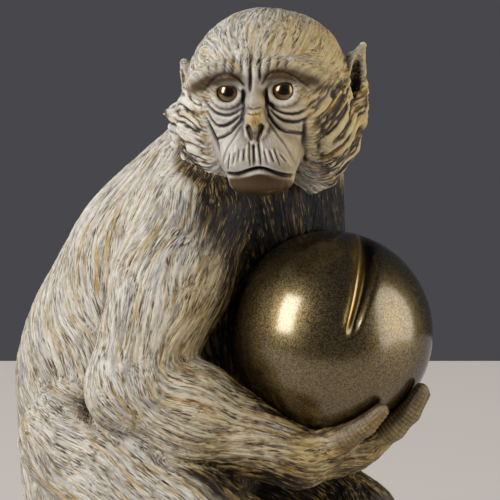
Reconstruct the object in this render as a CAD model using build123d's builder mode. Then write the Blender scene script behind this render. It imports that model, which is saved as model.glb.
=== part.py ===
from build123d import *

import os
from math import acos, cos, radians, sin

# Seated monkey figurine with a round fruit in its hands.
# The figure is cast in sections. Steel pins locate the sections, glue holds them, and felt pads carry them.
# The frame has +Z up, and the face looks along -Y. The origin is at the centre of the footprint.

# Fits and felt, in millimetres
FELT_THICKNESS = 2.0
FELT_RADIUS = 9.0
FIT_GAP = 0.15

# Stance: where the hips stand from the centre of the footprint, and how the body is turned
HIP_X = -38.77
HIP_Y = 24.85
BODY_TURN = -30.0

# Torso: a loft through flat ovals from the seat to the neck
TORSO_HEIGHT = 247.0
TORSO_DEPTH = 116.0
TORSO_WIDTH = 114.0
TORSO_LEAN = 55.0
# Rows of height, lean, depth and width, from the seat up
TORSO_SHARES = (
    (0.00, 0.00, 0.79, 0.84),
    (0.07, 0.00, 0.91, 0.96),
    (0.21, 0.00, 0.98, 1.00),
    (0.39, 0.02, 1.04, 1.00),
    (0.50, 0.01, 1.04, 1.00),
    (0.62, 0.14, 0.98, 0.95),
    (0.73, 0.37, 0.94, 0.86),
    (0.85, 0.63, 0.85, 0.77),
    (0.93, 0.80, 0.68, 0.62),
    (1.00, 0.92, 0.50, 0.48),
)

# Fur on the back: carved locks that stand out of the torso, from one row of the torso's table to the next
LOCK_RADIUS = 5.5
LOCK_TIP_RADIUS = 1.5
LOCK_SINK = 2.6
LOCK_FIRST_ANGLE = 108.0
LOCK_LAST_ANGLE = 252.0
LOCK_COUNT = 7
LOCK_ROWS = (1, 2, 3, 4, 5, 6)

# Head: the skull's size, and how the head sits on the neck and turns to its right
HEAD_WIDTH = 78.0
HEAD_DEPTH = 88.0
HEAD_HEIGHT = 84.0
HEAD_TURN = -8.0
HEAD_TILT = -3.4
HEAD_SEAT_SHARES = (0.37, -0.205, 0.23)

# Face: places are shares of half the skull, across, back and up
EYE_RADIUS = 6.6
EYE_SHARES = (0.355, -0.82, 0.01)
SOCKET_SHARES = (0.355, -1.00, 0.01)
SOCKET_RADIUS = 9.0
LID_LIFT_SHARE = 0.35
LID_RADIUS = 1.7
BROW_SHARES = (0.36, -0.80, 0.22)
BROW_SIZE_SHARES = (0.44, 0.22, 0.15)
MIDFACE_SHARES = (0.0, -0.48, -0.24)
MIDFACE_SIZE_SHARES = (0.76, 0.50, 0.64)
MUZZLE_SHARES = (0.0, -0.80, -0.70)
MUZZLE_SIZE_SHARES = (0.53, 0.42, 0.44)
CHIN_SHARES = (0.0, -0.84, -1.05)
CHIN_SIZE_SHARES = (0.34, 0.27, 0.20)
NOSE_SHARES = (0.0, -1.06, -0.30)
NOSE_SIZE_SHARES = (0.11, 0.16, 0.30)
NOSE_SLOPE = 18.0
NOSTRIL_SHARES = (0.06, -1.20, -0.50)
NOSTRIL_SIZE_SHARES = (0.03, 0.06, 0.07)
MOUTH_SHARES = (0.0, -1.16, -0.95)
MOUTH_SIZE_SHARES = (0.44, 0.30, 0.022)
CHEEK_SHARES = (0.60, -0.12, -0.46)
CHEEK_SIZE_SHARES = (0.56, 0.52, 0.70)

# Ears: a pointed dish on each side
EAR_SHARES = (0.98, 0.20, 0.20)
EAR_SIZE_SHARES = (0.13, 0.26, 0.40)
EAR_FLARE = 22.0
EAR_LEAN = 14.0
EAR_DISH_SHARE = 0.72

# Ruff: a fan of pointed tufts down each cheek
TUFT_COUNT = 7
TUFT_RADIUS = 9.0
TUFT_TIP_RADIUS = 1.6
TUFT_TOP_ANGLE = 26.0
TUFT_BOTTOM_ANGLE = -72.0
RUFF_MIDDLE_SHARES = (0.0, -0.12, -0.19)
RUFF_SIZE_SHARES = (1.30, 0.22, 1.08)
TUFT_ROOT_SHARE = 0.62

# Fur on the crown: carved locks that run down from the top of the skull
CROWN_LOCK_RADIUS = 6.3
CROWN_LOCK_COUNT = 12
CROWN_FIRST_ANGLE = 15.0
CROWN_LOCK_TOP = 16.0
CROWN_LOCK_BOTTOM = 52.0

# Fruit: a ball with one long crease
FRUIT_RADIUS = 51.0
FRUIT_CHEST_SHARE = 1.02
FRUIT_LEFT_SHARE = 0.05
FRUIT_HEIGHT_SHARE = 0.595
CREASE_RADIUS = 4.2
CREASE_START = (0.52, -0.06, 0.85)
CREASE_END = (0.65, -0.76, -0.05)
CREASE_SHARES = (0.25, 0.95, 1.00, 0.70, 0.12)

# Arms: radii, and the joints as shares of half the torso's depth and width and of its height
SHOULDER_RADIUS = 26.0
UPPER_ARM_RADIUS = 29.0
ELBOW_RADIUS = 21.0
FOREARM_RADIUS = 25.0
WRIST_RADIUS = 14.5
JOINT_SHARE = 0.94
SHOULDER_SHARES = (0.90, 0.52, 0.835)
RIGHT_ELBOW_SHARES = (0.66, -1.22, 0.495)
LEFT_ELBOW_SHARES = (0.34, 1.26, 0.47)

# Hands: directions run from the middle of the fruit, forward, left and up
PALM_LENGTH = 44.0
PALM_WIDTH = 36.0
PALM_THICKNESS = 24.0
PALM_LIFT_SHARE = 0.4
FINGER_RADIUS = 6.6
FINGER_SHARES = (1.00, 1.05, 0.95, 0.85)
RIGHT_PALM = (0.13, -0.10, -0.98)
RIGHT_WRIST = (-0.05, -0.40, -0.92)
RIGHT_THUMB = ((0.20, -0.36, -0.91), (0.66, -0.24, -0.71))
RIGHT_FINGERS = (
    ((0.42, -0.05, -0.91), (0.80, 0.28, -0.53)),
    ((0.36, 0.14, -0.92), (0.71, 0.46, -0.54)),
    ((0.24, 0.30, -0.92), (0.52, 0.58, -0.62)),
    ((0.08, 0.38, -0.92), (0.28, 0.64, -0.71)),
)
LEFT_PALM = (0.02, 0.90, -0.42)
LEFT_WRIST = (-0.16, 0.72, -0.67)
LEFT_THUMB = ((-0.22, 0.86, -0.46), (-0.44, 0.86, -0.10))
LEFT_FINGERS = (
    ((-0.12, 0.98, -0.12), (-0.13, 0.86, 0.50)),
    ((0.04, 0.99, -0.10), (0.06, 0.85, 0.53)),
    ((0.18, 0.97, -0.14), (0.23, 0.87, 0.44)),
    ((0.29, 0.93, -0.22), (0.30, 0.92, 0.22)),
)

# Legs: radii, and the joints as shares of half the torso's depth and width and of its height
HAUNCH_RADIUS = 28.0
THIGH_RADIUS = 33.0
KNEE_RADIUS = 21.0
CALF_RADIUS = 16.0
ANKLE_RADIUS = 11.0
HIP_SHARES = (-0.09, -0.96, 0.37)
KNEE_SHARES = (1.69, -0.93, 0.178)
ANKLE_SHARES = (0.58, -1.04, 0.06)

# Feet: a tapered sole with toes that fan from its front
FOOT_LENGTH = 62.0
FOOT_WIDTH = 27.0
FOOT_HEIGHT = 22.0
FOOT_LIFT_SHARE = 0.3
FOOT_REACH_SHARE = 0.36
FOOT_TURN = -10.0
TOE_LENGTH = 24.0
TOE_RADIUS = 5.4
TOE_ROOT_SHARE = 0.34
TOE_SPREAD_SHARES = (-0.33, -0.11, 0.11, 0.33)
TOE_TURNS = (-14.0, -5.0, 4.0, 13.0)
BIG_TOE_ROOT_SHARE = 0.05
BIG_TOE_TURN = 40.0

# Tail: a tapered round bar that lies on the ground round the seat
TAIL_RADIUS = 10.5
TAIL_LIFT_SHARE = 0.85
TAIL_ANGLES = (174.0, 200.0, 224.0, 248.0, 268.0)
TAIL_SHARES = (1.05, 1.00, 0.92, 0.80, 0.62)
TAIL_SPREAD_SHARES = (0.90, 1.06, 1.14, 1.24, 1.40)

# Steel pins between the castings
PIN_RADIUS = 2.5
PIN_LENGTH = 36.0
SHORT_PIN_LENGTH = 22.0
NECK_PIN_SHARE = 0.55
SHOULDER_PIN_SHARES = (0.80, 0.74, 0.78)
HIP_PIN_SHARES = (0.08, 0.99, 0.35)
TAIL_PIN_SHARE = 0.83

BODY = Plane(Location((HIP_X, HIP_Y, FELT_THICKNESS), (0, 0, BODY_TURN)))
SAGITTAL = Plane(origin=BODY.origin, z_dir=BODY.y_dir)


def on_torso(shares: tuple) -> Vector:
    """A place given in shares of the torso: forward, left and up from the seat."""
    forward, left, up = shares
    local = Vector(forward * TORSO_DEPTH / 2, left * TORSO_WIDTH / 2, up * TORSO_HEIGHT)
    return BODY.from_local_coords(local)


def body_direction(forward: float, left: float, up: float) -> Vector:
    """A direction given forward, left and up of the body."""
    direction = BODY.x_dir * forward + BODY.y_dir * left + BODY.z_dir * up
    return direction.normalized()


def on_head(shares: tuple) -> Vector:
    """A place given in shares of half the skull: across, back and up."""
    across, back, up = shares
    local = Vector(across * HEAD_WIDTH / 2, back * HEAD_DEPTH / 2, up * HEAD_HEIGHT / 2)
    return HEAD.from_local_coords(local)


def head_plane(shares: tuple, turn: float = 0.0, lean: float = 0.0, pitch: float = 0.0) -> Plane:
    """The head's own plane moved to a place on the skull, then nodded, leaned sideways and turned."""
    at_place = Plane(origin=on_head(shares), x_dir=HEAD.x_dir, z_dir=HEAD.z_dir)
    return at_place.rotated((pitch, lean, turn))


def sided(shares: tuple, side: int) -> tuple:
    """The same place on the head's right side (-1) or left side (1)."""
    return (shares[0] * side, shares[1], shares[2])


def head_halves(shares: tuple) -> tuple:
    """Half sizes given in shares of half the skull."""
    across, back, up = shares
    return (across * HEAD_WIDTH / 2, back * HEAD_DEPTH / 2, up * HEAD_HEIGHT / 2)


def ellipsoid(place: Plane, halves: tuple, mode: Mode = Mode.ADD) -> None:
    """Adds an oval ball: a unit ball scaled by its half sizes."""
    unit_ball = Sphere(1, rotation=(0, 0, 90), mode=Mode.PRIVATE)
    add(place * scale(unit_ball, by=halves, mode=Mode.PRIVATE), mode=mode)


def limb(start: Vector, end: Vector, girths: tuple) -> None:
    """Adds a round limb about the line from start to end.

    Each girth is a share of the length and the radius there. Both ends are domed.
    """
    along = end - start
    across = Plane(origin=start, z_dir=along)
    profile_plane = Plane(origin=start, x_dir=across.x_dir, z_dir=-across.y_dir)
    stations = [(radius, share * along.length) for share, radius in girths]
    first = girths[0][1]
    last = girths[-1][1]
    bottom = (0, -first)
    top = (0, along.length + last)
    slant = sin(radians(45))
    with BuildSketch(profile_plane) as profile:
        with BuildLine():
            ThreePointArc(bottom, (slant * first, -slant * first), stations[0])
            Spline(*stations, tangents=((0, 1), (0, 1)))
            ThreePointArc(stations[-1], (slant * last, along.length + slant * last), top)
            Line(top, bottom)
        make_face()
    revolve(profile.sketch, axis=Axis(start, along))


def back_place(row: int, angle: float) -> Vector:
    """A place just under the torso's skin, on one of its ovals, where a lock ends."""
    height_share, lean_share, depth_share, width_share = TORSO_SHARES[row]
    forward = lean_share * TORSO_LEAN + cos(radians(angle)) * (depth_share * TORSO_DEPTH / 2 - LOCK_SINK)
    left = sin(radians(angle)) * (width_share * TORSO_WIDTH / 2 - LOCK_SINK)
    return BODY.from_local_coords(Vector(forward, left, height_share * TORSO_HEIGHT))


def crown_place(slope: float, angle: float) -> Vector:
    """A place just under the skull's skin, where a lock ends."""
    across = sin(radians(slope)) * cos(radians(angle)) * (HEAD_WIDTH / 2 - LOCK_SINK)
    back = sin(radians(slope)) * sin(radians(angle)) * (HEAD_DEPTH / 2 - LOCK_SINK)
    return HEAD.from_local_coords(Vector(across, back, cos(radians(slope)) * (HEAD_HEIGHT / 2 - LOCK_SINK)))


def between(first: Vector, second: Vector, share: float) -> Vector:
    """The direction a share of the way round from one direction to another."""
    angle = acos(first.dot(second))
    return first * (sin((1 - share) * angle) / sin(angle)) + second * (sin(share * angle) / sin(angle))


def over_fruit(start: tuple, end: tuple, radii: tuple, lift: float, mode: Mode = Mode.ADD) -> Vector:
    """Lofts round sections along an arc over the fruit, and returns the middle of the last one."""
    first = body_direction(*start)
    last = body_direction(*end)
    normal = first.cross(last)
    sections = []
    for index, radius in enumerate(radii):
        outward = between(first, last, index / (len(radii) - 1))
        middle = FRUIT_CENTRE + outward * (FRUIT_RADIUS + lift)
        with BuildSketch(Plane(origin=middle, x_dir=outward, z_dir=normal.cross(outward))) as section:
            Circle(radius)
        sections.append(section.sketch)
    loft(sections, mode=mode)
    return middle


def digit(start: tuple, end: tuple) -> None:
    """Adds one finger or thumb that lies on the fruit, with a round tip."""
    radii = tuple(share * FINGER_RADIUS for share in FINGER_SHARES)
    tip = over_fruit(start, end, radii, FINGER_RADIUS)
    with Locations(tip):
        Sphere(radii[-1])


def palm(palm_direction: tuple, wrist_direction: tuple) -> None:
    """Adds the palm: an oval pad that lies on the fruit, with its length towards the wrist."""
    outward = body_direction(*palm_direction)
    towards_wrist = body_direction(*wrist_direction)
    middle = FRUIT_CENTRE + outward * (FRUIT_RADIUS + PALM_LIFT_SHARE * PALM_THICKNESS)
    length_way = outward.cross(towards_wrist).cross(outward)
    place = Plane(origin=middle, x_dir=length_way, z_dir=outward)
    ellipsoid(place, (PALM_LENGTH / 2, PALM_WIDTH / 2, PALM_THICKNESS / 2))


def clear_fruit() -> None:
    """Cuts the fruit's seat, with room for glue."""
    with Locations(FRUIT_CENTRE):
        Sphere(FRUIT_RADIUS + FIT_GAP, mode=Mode.SUBTRACT)


def cut_flat() -> None:
    """Cuts the part flat where it stands on the felt."""
    split(bisect_by=Plane.XY.offset(FELT_THICKNESS), keep=Keep.TOP)


def pin_plane(middle: Vector, along: Vector) -> Plane:
    """The plane across a pin at the middle of its length."""
    return Plane(origin=middle, z_dir=along)


def bore(pin_name: str) -> None:
    """Cuts the hole for a pin, with room for glue."""
    place, length = PINS[pin_name]
    with Locations(place.location):
        Cylinder(PIN_RADIUS + FIT_GAP, length + 2 * FIT_GAP, mode=Mode.SUBTRACT)


def save(piece: BuildPart, name: str) -> None:
    """Labels a finished piece and writes it out."""
    piece.part.label = name
    export_step(piece.part, f"parts/{name}.step")


# Places that several pieces share
NECK_TOP = BODY.from_local_coords(Vector(TORSO_SHARES[-1][1] * TORSO_LEAN, 0, TORSO_HEIGHT))
HEAD_CENTRE = (
    NECK_TOP
    + BODY.x_dir * (HEAD_SEAT_SHARES[0] * HEAD_DEPTH)
    + BODY.y_dir * (HEAD_SEAT_SHARES[1] * HEAD_WIDTH)
    + BODY.z_dir * (HEAD_SEAT_SHARES[2] * HEAD_HEIGHT)
)
HEAD = Plane(Location(HEAD_CENTRE, (0, HEAD_TILT, HEAD_TURN)))
NECK_ROOT = BODY.from_local_coords(Vector(TORSO_SHARES[-3][1] * TORSO_LEAN, 0, TORSO_SHARES[-3][0] * TORSO_HEIGHT))
NECK_WAY = NECK_ROOT - HEAD_CENTRE
FRUIT_CENTRE = BODY.from_local_coords(
    Vector(
        FRUIT_CHEST_SHARE * TORSO_DEPTH / 2 + FRUIT_RADIUS,
        FRUIT_LEFT_SHARE * TORSO_WIDTH / 2,
        FRUIT_HEIGHT_SHARE * TORSO_HEIGHT,
    )
)
SHOULDERS = {side: on_torso((SHOULDER_SHARES[0], side * SHOULDER_SHARES[1], SHOULDER_SHARES[2])) for side in (-1, 1)}
ELBOWS = {-1: on_torso(RIGHT_ELBOW_SHARES), 1: on_torso(LEFT_ELBOW_SHARES)}
WRISTS = {
    side: FRUIT_CENTRE + body_direction(*way) * (FRUIT_RADIUS + WRIST_RADIUS + FIT_GAP)
    for side, way in ((-1, RIGHT_WRIST), (1, LEFT_WRIST))
}
HIP = on_torso(HIP_SHARES)
KNEE = on_torso(KNEE_SHARES)
ANKLE = on_torso(ANKLE_SHARES)

os.makedirs("parts", exist_ok=True)

PALMS = {
    side: FRUIT_CENTRE + body_direction(*way) * (FRUIT_RADIUS + PALM_LIFT_SHARE * PALM_THICKNESS)
    for side, way in ((-1, RIGHT_PALM), (1, LEFT_PALM))
}


def wrist_pin(side: int) -> tuple:
    """A short pin across the domed end of a forearm, towards the palm."""
    along = (PALMS[side] - WRISTS[side]).normalized()
    return (Plane(origin=WRISTS[side] + along * WRIST_RADIUS, z_dir=along), SHORT_PIN_LENGTH)


def sideways_pin(shares: tuple, side: int) -> tuple:
    """A pin that runs from side to side of the body."""
    middle = on_torso((shares[0], side * shares[1], shares[2]))
    return (Plane(origin=middle, z_dir=BODY.y_dir), PIN_LENGTH)


PINS = {
    "neck_pin": (Plane(origin=HEAD_CENTRE + NECK_WAY * NECK_PIN_SHARE, z_dir=NECK_WAY), PIN_LENGTH),
    "right_shoulder_pin": sideways_pin(SHOULDER_PIN_SHARES, -1),
    "left_shoulder_pin": sideways_pin(SHOULDER_PIN_SHARES, 1),
    "right_wrist_pin": wrist_pin(-1),
    "left_wrist_pin": wrist_pin(1),
    "right_hip_pin": sideways_pin(HIP_PIN_SHARES, -1),
    "left_hip_pin": sideways_pin(HIP_PIN_SHARES, 1),
    "tail_pin": (
        Plane(
            origin=BODY.from_local_coords(
                Vector(-TAIL_PIN_SHARE * TORSO_DEPTH / 2, 0, TAIL_LIFT_SHARE * TAIL_RADIUS)
            ),
            z_dir=BODY.x_dir,
        ),
        SHORT_PIN_LENGTH,
    ),
    "fruit_pin": (Plane(origin=FRUIT_CENTRE - BODY.x_dir * FRUIT_RADIUS, z_dir=BODY.x_dir), PIN_LENGTH),
}

# Head
with BuildPart() as head:
    for turn in (0, 180):
        half_ball = Sphere(1, arc_size3=180, rotation=(0, 0, turn), align=None, mode=Mode.PRIVATE)
        add(HEAD * scale(half_ball, by=head_halves((1, 1, 1)), mode=Mode.PRIVATE))
    ellipsoid(head_plane(MIDFACE_SHARES), head_halves(MIDFACE_SIZE_SHARES))
    ellipsoid(head_plane(MUZZLE_SHARES), head_halves(MUZZLE_SIZE_SHARES))
    ellipsoid(head_plane(CHIN_SHARES), head_halves(CHIN_SIZE_SHARES))
    for side in (-1, 1):
        ellipsoid(head_plane(sided(BROW_SHARES, side)), head_halves(BROW_SIZE_SHARES))
        ellipsoid(head_plane(sided(CHEEK_SHARES, side)), head_halves(CHEEK_SIZE_SHARES))
        for index in range(TUFT_COUNT):
            share = index / (TUFT_COUNT - 1)
            angle = radians(TUFT_TOP_ANGLE + share * (TUFT_BOTTOM_ANGLE - TUFT_TOP_ANGLE))
            reach = (side * cos(angle) * RUFF_SIZE_SHARES[0], RUFF_SIZE_SHARES[1], sin(angle) * RUFF_SIZE_SHARES[2])
            root = on_head(tuple(m + TUFT_ROOT_SHARE * r for m, r in zip(RUFF_MIDDLE_SHARES, reach)))
            tip = on_head(tuple(m + r for m, r in zip(RUFF_MIDDLE_SHARES, reach)))
            limb(root, tip, ((0.0, TUFT_RADIUS), (0.5, TUFT_RADIUS * 3 / 4), (1.0, TUFT_TIP_RADIUS)))
        ear = head_plane(sided(EAR_SHARES, side), turn=side * EAR_FLARE, lean=side * EAR_LEAN)
        ear_halves = head_halves(EAR_SIZE_SHARES)
        ellipsoid(ear, ear_halves)
        dish = ear.offset(0)
        dish.origin = ear.origin - ear.y_dir * ear_halves[1]
        ellipsoid(dish, tuple(EAR_DISH_SHARE * half for half in ear_halves), Mode.SUBTRACT)
    for side in (-1, 1):
        with Locations(on_head(sided(SOCKET_SHARES, side))):
            Sphere(SOCKET_RADIUS, mode=Mode.SUBTRACT)
        lid_middle = on_head(sided(EYE_SHARES, side)) - HEAD.y_dir * (LID_LIFT_SHARE * EYE_RADIUS)
        with Locations(Plane(origin=lid_middle, z_dir=-HEAD.y_dir).location):
            Torus(EYE_RADIUS, LID_RADIUS)
        with Locations(on_head(sided(EYE_SHARES, side))):
            Sphere(EYE_RADIUS + FIT_GAP, mode=Mode.SUBTRACT)
    ellipsoid(head_plane(NOSE_SHARES, pitch=NOSE_SLOPE), head_halves(NOSE_SIZE_SHARES))
    for side in (-1, 1):
        ellipsoid(head_plane(sided(NOSTRIL_SHARES, side)), head_halves(NOSTRIL_SIZE_SHARES), Mode.SUBTRACT)
    ellipsoid(head_plane(MOUTH_SHARES), head_halves(MOUTH_SIZE_SHARES), Mode.SUBTRACT)
    for index in range(CROWN_LOCK_COUNT):
        angle = CROWN_FIRST_ANGLE + 360 * index / CROWN_LOCK_COUNT
        limb(
            crown_place(CROWN_LOCK_TOP, angle),
            crown_place(CROWN_LOCK_BOTTOM, angle),
            ((0.0, LOCK_TIP_RADIUS), (0.5, CROWN_LOCK_RADIUS), (1.0, LOCK_TIP_RADIUS)),
        )
    bore("neck_pin")
save(head, "head")

# Torso
with BuildPart() as torso:
    ovals = []
    for height_share, lean_share, depth_share, width_share in TORSO_SHARES:
        middle = BODY.from_local_coords(Vector(lean_share * TORSO_LEAN, 0, height_share * TORSO_HEIGHT))
        with BuildSketch(Plane(origin=middle, x_dir=BODY.x_dir, z_dir=BODY.z_dir)) as oval:
            Ellipse(depth_share * TORSO_DEPTH / 2, width_share * TORSO_WIDTH / 2)
        ovals.append(oval.sketch)
    loft(ovals)
    lock_step = (LOCK_LAST_ANGLE - LOCK_FIRST_ANGLE) / (LOCK_COUNT - 1)
    for row in LOCK_ROWS:
        for index in range(LOCK_COUNT - row % 2):
            angle = LOCK_FIRST_ANGLE + lock_step * (index + (row % 2) / 2)
            limb(
                back_place(row + 1, angle),
                back_place(row, angle),
                ((0.0, LOCK_TIP_RADIUS), (0.5, LOCK_RADIUS), (1.0, LOCK_TIP_RADIUS)),
            )
    clear_fruit()
    add(head.part, mode=Mode.SUBTRACT)
    for pin_name in (
        "neck_pin", "right_shoulder_pin", "left_shoulder_pin", "right_hip_pin", "left_hip_pin", "tail_pin", "fruit_pin",
    ):
        bore(pin_name)
save(torso, "torso")

# Fruit
with BuildPart() as fruit:
    with Locations(FRUIT_CENTRE):
        Sphere(FRUIT_RADIUS)
    over_fruit(CREASE_START, CREASE_END, tuple(s * CREASE_RADIUS for s in CREASE_SHARES), 0, Mode.SUBTRACT)
    bore("fruit_pin")
save(fruit, "fruit")

# Legs
foot_way = BODY.x_dir.rotate(Axis.Z, FOOT_TURN)
foot_across = BODY.y_dir.rotate(Axis.Z, FOOT_TURN)
sole_height = FELT_THICKNESS + FOOT_LIFT_SHARE * FOOT_HEIGHT
sole_middle = Vector(ANKLE.X, ANKLE.Y, sole_height) + foot_way * (FOOT_REACH_SHARE * FOOT_LENGTH)
toe_height = FELT_THICKNESS + TOE_RADIUS * TAIL_LIFT_SHARE
toe_row = Vector(sole_middle.X, sole_middle.Y, toe_height) + foot_way * (TOE_ROOT_SHARE * FOOT_LENGTH)
big_toe_root = Vector(sole_middle.X, sole_middle.Y, toe_height) + foot_way * (BIG_TOE_ROOT_SHARE * FOOT_LENGTH)
with BuildPart() as right_leg:
    limb(HIP, KNEE, ((0.0, HAUNCH_RADIUS), (0.35, THIGH_RADIUS), (1.0, KNEE_RADIUS)))
    limb(KNEE, ANKLE, ((0.0, JOINT_SHARE * KNEE_RADIUS), (0.4, CALF_RADIUS), (1.0, ANKLE_RADIUS)))
    sole = Plane(origin=sole_middle, x_dir=foot_way, z_dir=BODY.z_dir)
    ellipsoid(sole, (FOOT_LENGTH / 2, FOOT_WIDTH / 2, FOOT_HEIGHT / 2))
    for spread_share, turn in zip(TOE_SPREAD_SHARES, TOE_TURNS):
        root = toe_row + foot_across * (spread_share * FOOT_WIDTH)
        tip = root + foot_way.rotate(Axis.Z, turn) * TOE_LENGTH
        limb(root, tip, ((0.0, TOE_RADIUS), (1.0, TOE_RADIUS)))
    limb(
        big_toe_root,
        big_toe_root + foot_way.rotate(Axis.Z, BIG_TOE_TURN) * (FOOT_WIDTH / 2 + TOE_LENGTH / 2),
        ((0.0, TOE_RADIUS), (1.0, TOE_RADIUS)),
    )
    cut_flat()
    add(torso.part, mode=Mode.SUBTRACT)
    bore("right_hip_pin")
save(right_leg, "right_leg")

with BuildPart() as left_leg:
    mirror(right_leg.part, about=SAGITTAL)
save(left_leg, "left_leg")

# Tail
tail_joints = []
for angle, radius_share, spread_share in zip(TAIL_ANGLES, TAIL_SHARES, TAIL_SPREAD_SHARES):
    outward = Vector(cos(radians(angle)), sin(radians(angle)), 0)
    spread = Vector(
        outward.X * spread_share * TORSO_DEPTH / 2,
        outward.Y * spread_share * TORSO_WIDTH / 2,
        TAIL_LIFT_SHARE * radius_share * TAIL_RADIUS,
    )
    tail_joints.append(BODY.from_local_coords(spread))
with BuildPart() as tail:
    rounds = []
    for index, tip in enumerate(tail_joints):
        radius = TAIL_SHARES[index] * TAIL_RADIUS
        along = tail_joints[min(index + 1, len(tail_joints) - 1)] - tail_joints[max(index - 1, 0)]
        level = Vector(along.X, along.Y, 0)
        with BuildSketch(Plane(origin=tip, x_dir=level.cross(BODY.z_dir), z_dir=level)) as round_section:
            Circle(radius)
        rounds.append(round_section.sketch)
    loft(rounds, ruled=True)
    with Locations(tip):
        Sphere(radius)
    cut_flat()
    add(torso.part, mode=Mode.SUBTRACT)
    bore("tail_pin")
save(tail, "tail")

# Arms
with BuildPart() as right_arm:
    limb(SHOULDERS[-1], ELBOWS[-1], ((0.0, SHOULDER_RADIUS), (0.4, UPPER_ARM_RADIUS), (1.0, ELBOW_RADIUS)))
    limb(ELBOWS[-1], WRISTS[-1], ((0.0, JOINT_SHARE * ELBOW_RADIUS), (0.35, FOREARM_RADIUS), (1.0, WRIST_RADIUS)))
    clear_fruit()
    add(torso.part, mode=Mode.SUBTRACT)
    add(right_leg.part, mode=Mode.SUBTRACT)
    add(head.part, mode=Mode.SUBTRACT)
    bore("right_shoulder_pin")
    bore("right_wrist_pin")
save(right_arm, "right_arm")

with BuildPart() as left_arm:
    limb(SHOULDERS[1], ELBOWS[1], ((0.0, SHOULDER_RADIUS), (0.4, UPPER_ARM_RADIUS), (1.0, ELBOW_RADIUS)))
    limb(ELBOWS[1], WRISTS[1], ((0.0, JOINT_SHARE * ELBOW_RADIUS), (0.35, FOREARM_RADIUS), (1.0, WRIST_RADIUS)))
    clear_fruit()
    add(torso.part, mode=Mode.SUBTRACT)
    add(left_leg.part, mode=Mode.SUBTRACT)
    add(head.part, mode=Mode.SUBTRACT)
    bore("left_shoulder_pin")
    bore("left_wrist_pin")
save(left_arm, "left_arm")

# Hands
with BuildPart() as right_hand:
    palm(RIGHT_PALM, RIGHT_WRIST)
    digit(*RIGHT_THUMB)
    for start, end in RIGHT_FINGERS:
        digit(start, end)
    clear_fruit()
    add(right_arm.part, mode=Mode.SUBTRACT)
    bore("right_wrist_pin")
save(right_hand, "right_hand")

with BuildPart() as left_hand:
    palm(LEFT_PALM, LEFT_WRIST)
    digit(*LEFT_THUMB)
    for start, end in LEFT_FINGERS:
        digit(start, end)
    clear_fruit()
    add(left_arm.part, mode=Mode.SUBTRACT)
    bore("left_wrist_pin")
save(left_hand, "left_hand")

# Eyes
for side, eye_name in ((-1, "right_eye"), (1, "left_eye")):
    with BuildPart() as eye:
        with Locations(on_head(sided(EYE_SHARES, side))):
            Sphere(EYE_RADIUS)
    save(eye, eye_name)

# Pins
for pin_name, (pin_place, pin_length) in PINS.items():
    with BuildPart() as pin:
        with Locations(pin_place.location):
            Cylinder(PIN_RADIUS, pin_length)
    save(pin, pin_name)

# Felt pads
seat_reach = (TORSO_SHARES[0][2] * TORSO_DEPTH / 4, TORSO_SHARES[0][3] * TORSO_WIDTH / 4)
pad_places = [
    BODY.from_local_coords(Vector(forward * seat_reach[0], left * seat_reach[1], 0))
    for forward in (-1, 1)
    for left in (-1, 1)
]
sole_local = BODY.to_local_coords(sole_middle)
for side in (-1, 1):
    pad_places.append(BODY.from_local_coords(Vector(sole_local.X, side * sole_local.Y, 0)))
with BuildPart() as felt_pads:
    for place in pad_places:
        with Locations((place.X, place.Y, FELT_THICKNESS / 2)):
            Cylinder(FELT_RADIUS, FELT_THICKNESS)
save(felt_pads, "felt_pads")
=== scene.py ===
"""Dresses the seated monkey figurine: carved fur, modelled face, lacquered fruit, and the studio round them."""

import logging
import math
from dataclasses import dataclass, field
from enum import Enum
from typing import Any, Dict, List, Optional, Sequence, Tuple, Union

import bpy
import numpy as np
import openvdb as vdb
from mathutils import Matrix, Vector


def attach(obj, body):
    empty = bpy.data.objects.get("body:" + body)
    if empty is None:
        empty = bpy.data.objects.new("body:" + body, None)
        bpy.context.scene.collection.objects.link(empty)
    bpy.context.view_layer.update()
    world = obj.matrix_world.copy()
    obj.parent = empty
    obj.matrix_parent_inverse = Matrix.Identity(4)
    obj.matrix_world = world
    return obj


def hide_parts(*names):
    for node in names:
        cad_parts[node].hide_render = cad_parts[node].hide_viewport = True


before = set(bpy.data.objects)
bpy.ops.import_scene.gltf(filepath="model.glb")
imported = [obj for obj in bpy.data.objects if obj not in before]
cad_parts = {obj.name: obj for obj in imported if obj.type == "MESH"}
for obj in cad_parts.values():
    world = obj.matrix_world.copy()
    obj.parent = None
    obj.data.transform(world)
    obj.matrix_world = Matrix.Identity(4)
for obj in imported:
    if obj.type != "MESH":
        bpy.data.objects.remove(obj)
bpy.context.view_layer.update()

LOG = logging.getLogger("figurine")
MM = 0.001
# Distances further from a surface than this many millimetres aren't kept.
FAR = 15.0
Array = np.ndarray
Point = Tuple[float, float, float]
Ramp = Tuple[Tuple[float, str], ...]
Range = Tuple[float, float, float, float]
Key = Union[int, str]
Inputs = Union[Dict[Key, Any], Sequence[Any]]
# An oval's middle, its half sizes and its fillet, in millimetres.
Mass = Tuple[Point, Point, float]


class Side(Enum):
    """The figure's own right and left, as the sign of its left axis."""

    RIGHT = -1
    LEFT = 1


class Zone(Enum):
    """The casting that a patch of the body's surface belongs to."""

    TORSO = "torso"
    RIGHT_ARM = "right_arm"
    LEFT_ARM = "left_arm"
    RIGHT_HAND = "right_hand"
    LEFT_HAND = "left_hand"
    RIGHT_LEG = "right_leg"
    LEFT_LEG = "left_leg"
    TAIL = "tail"


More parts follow.
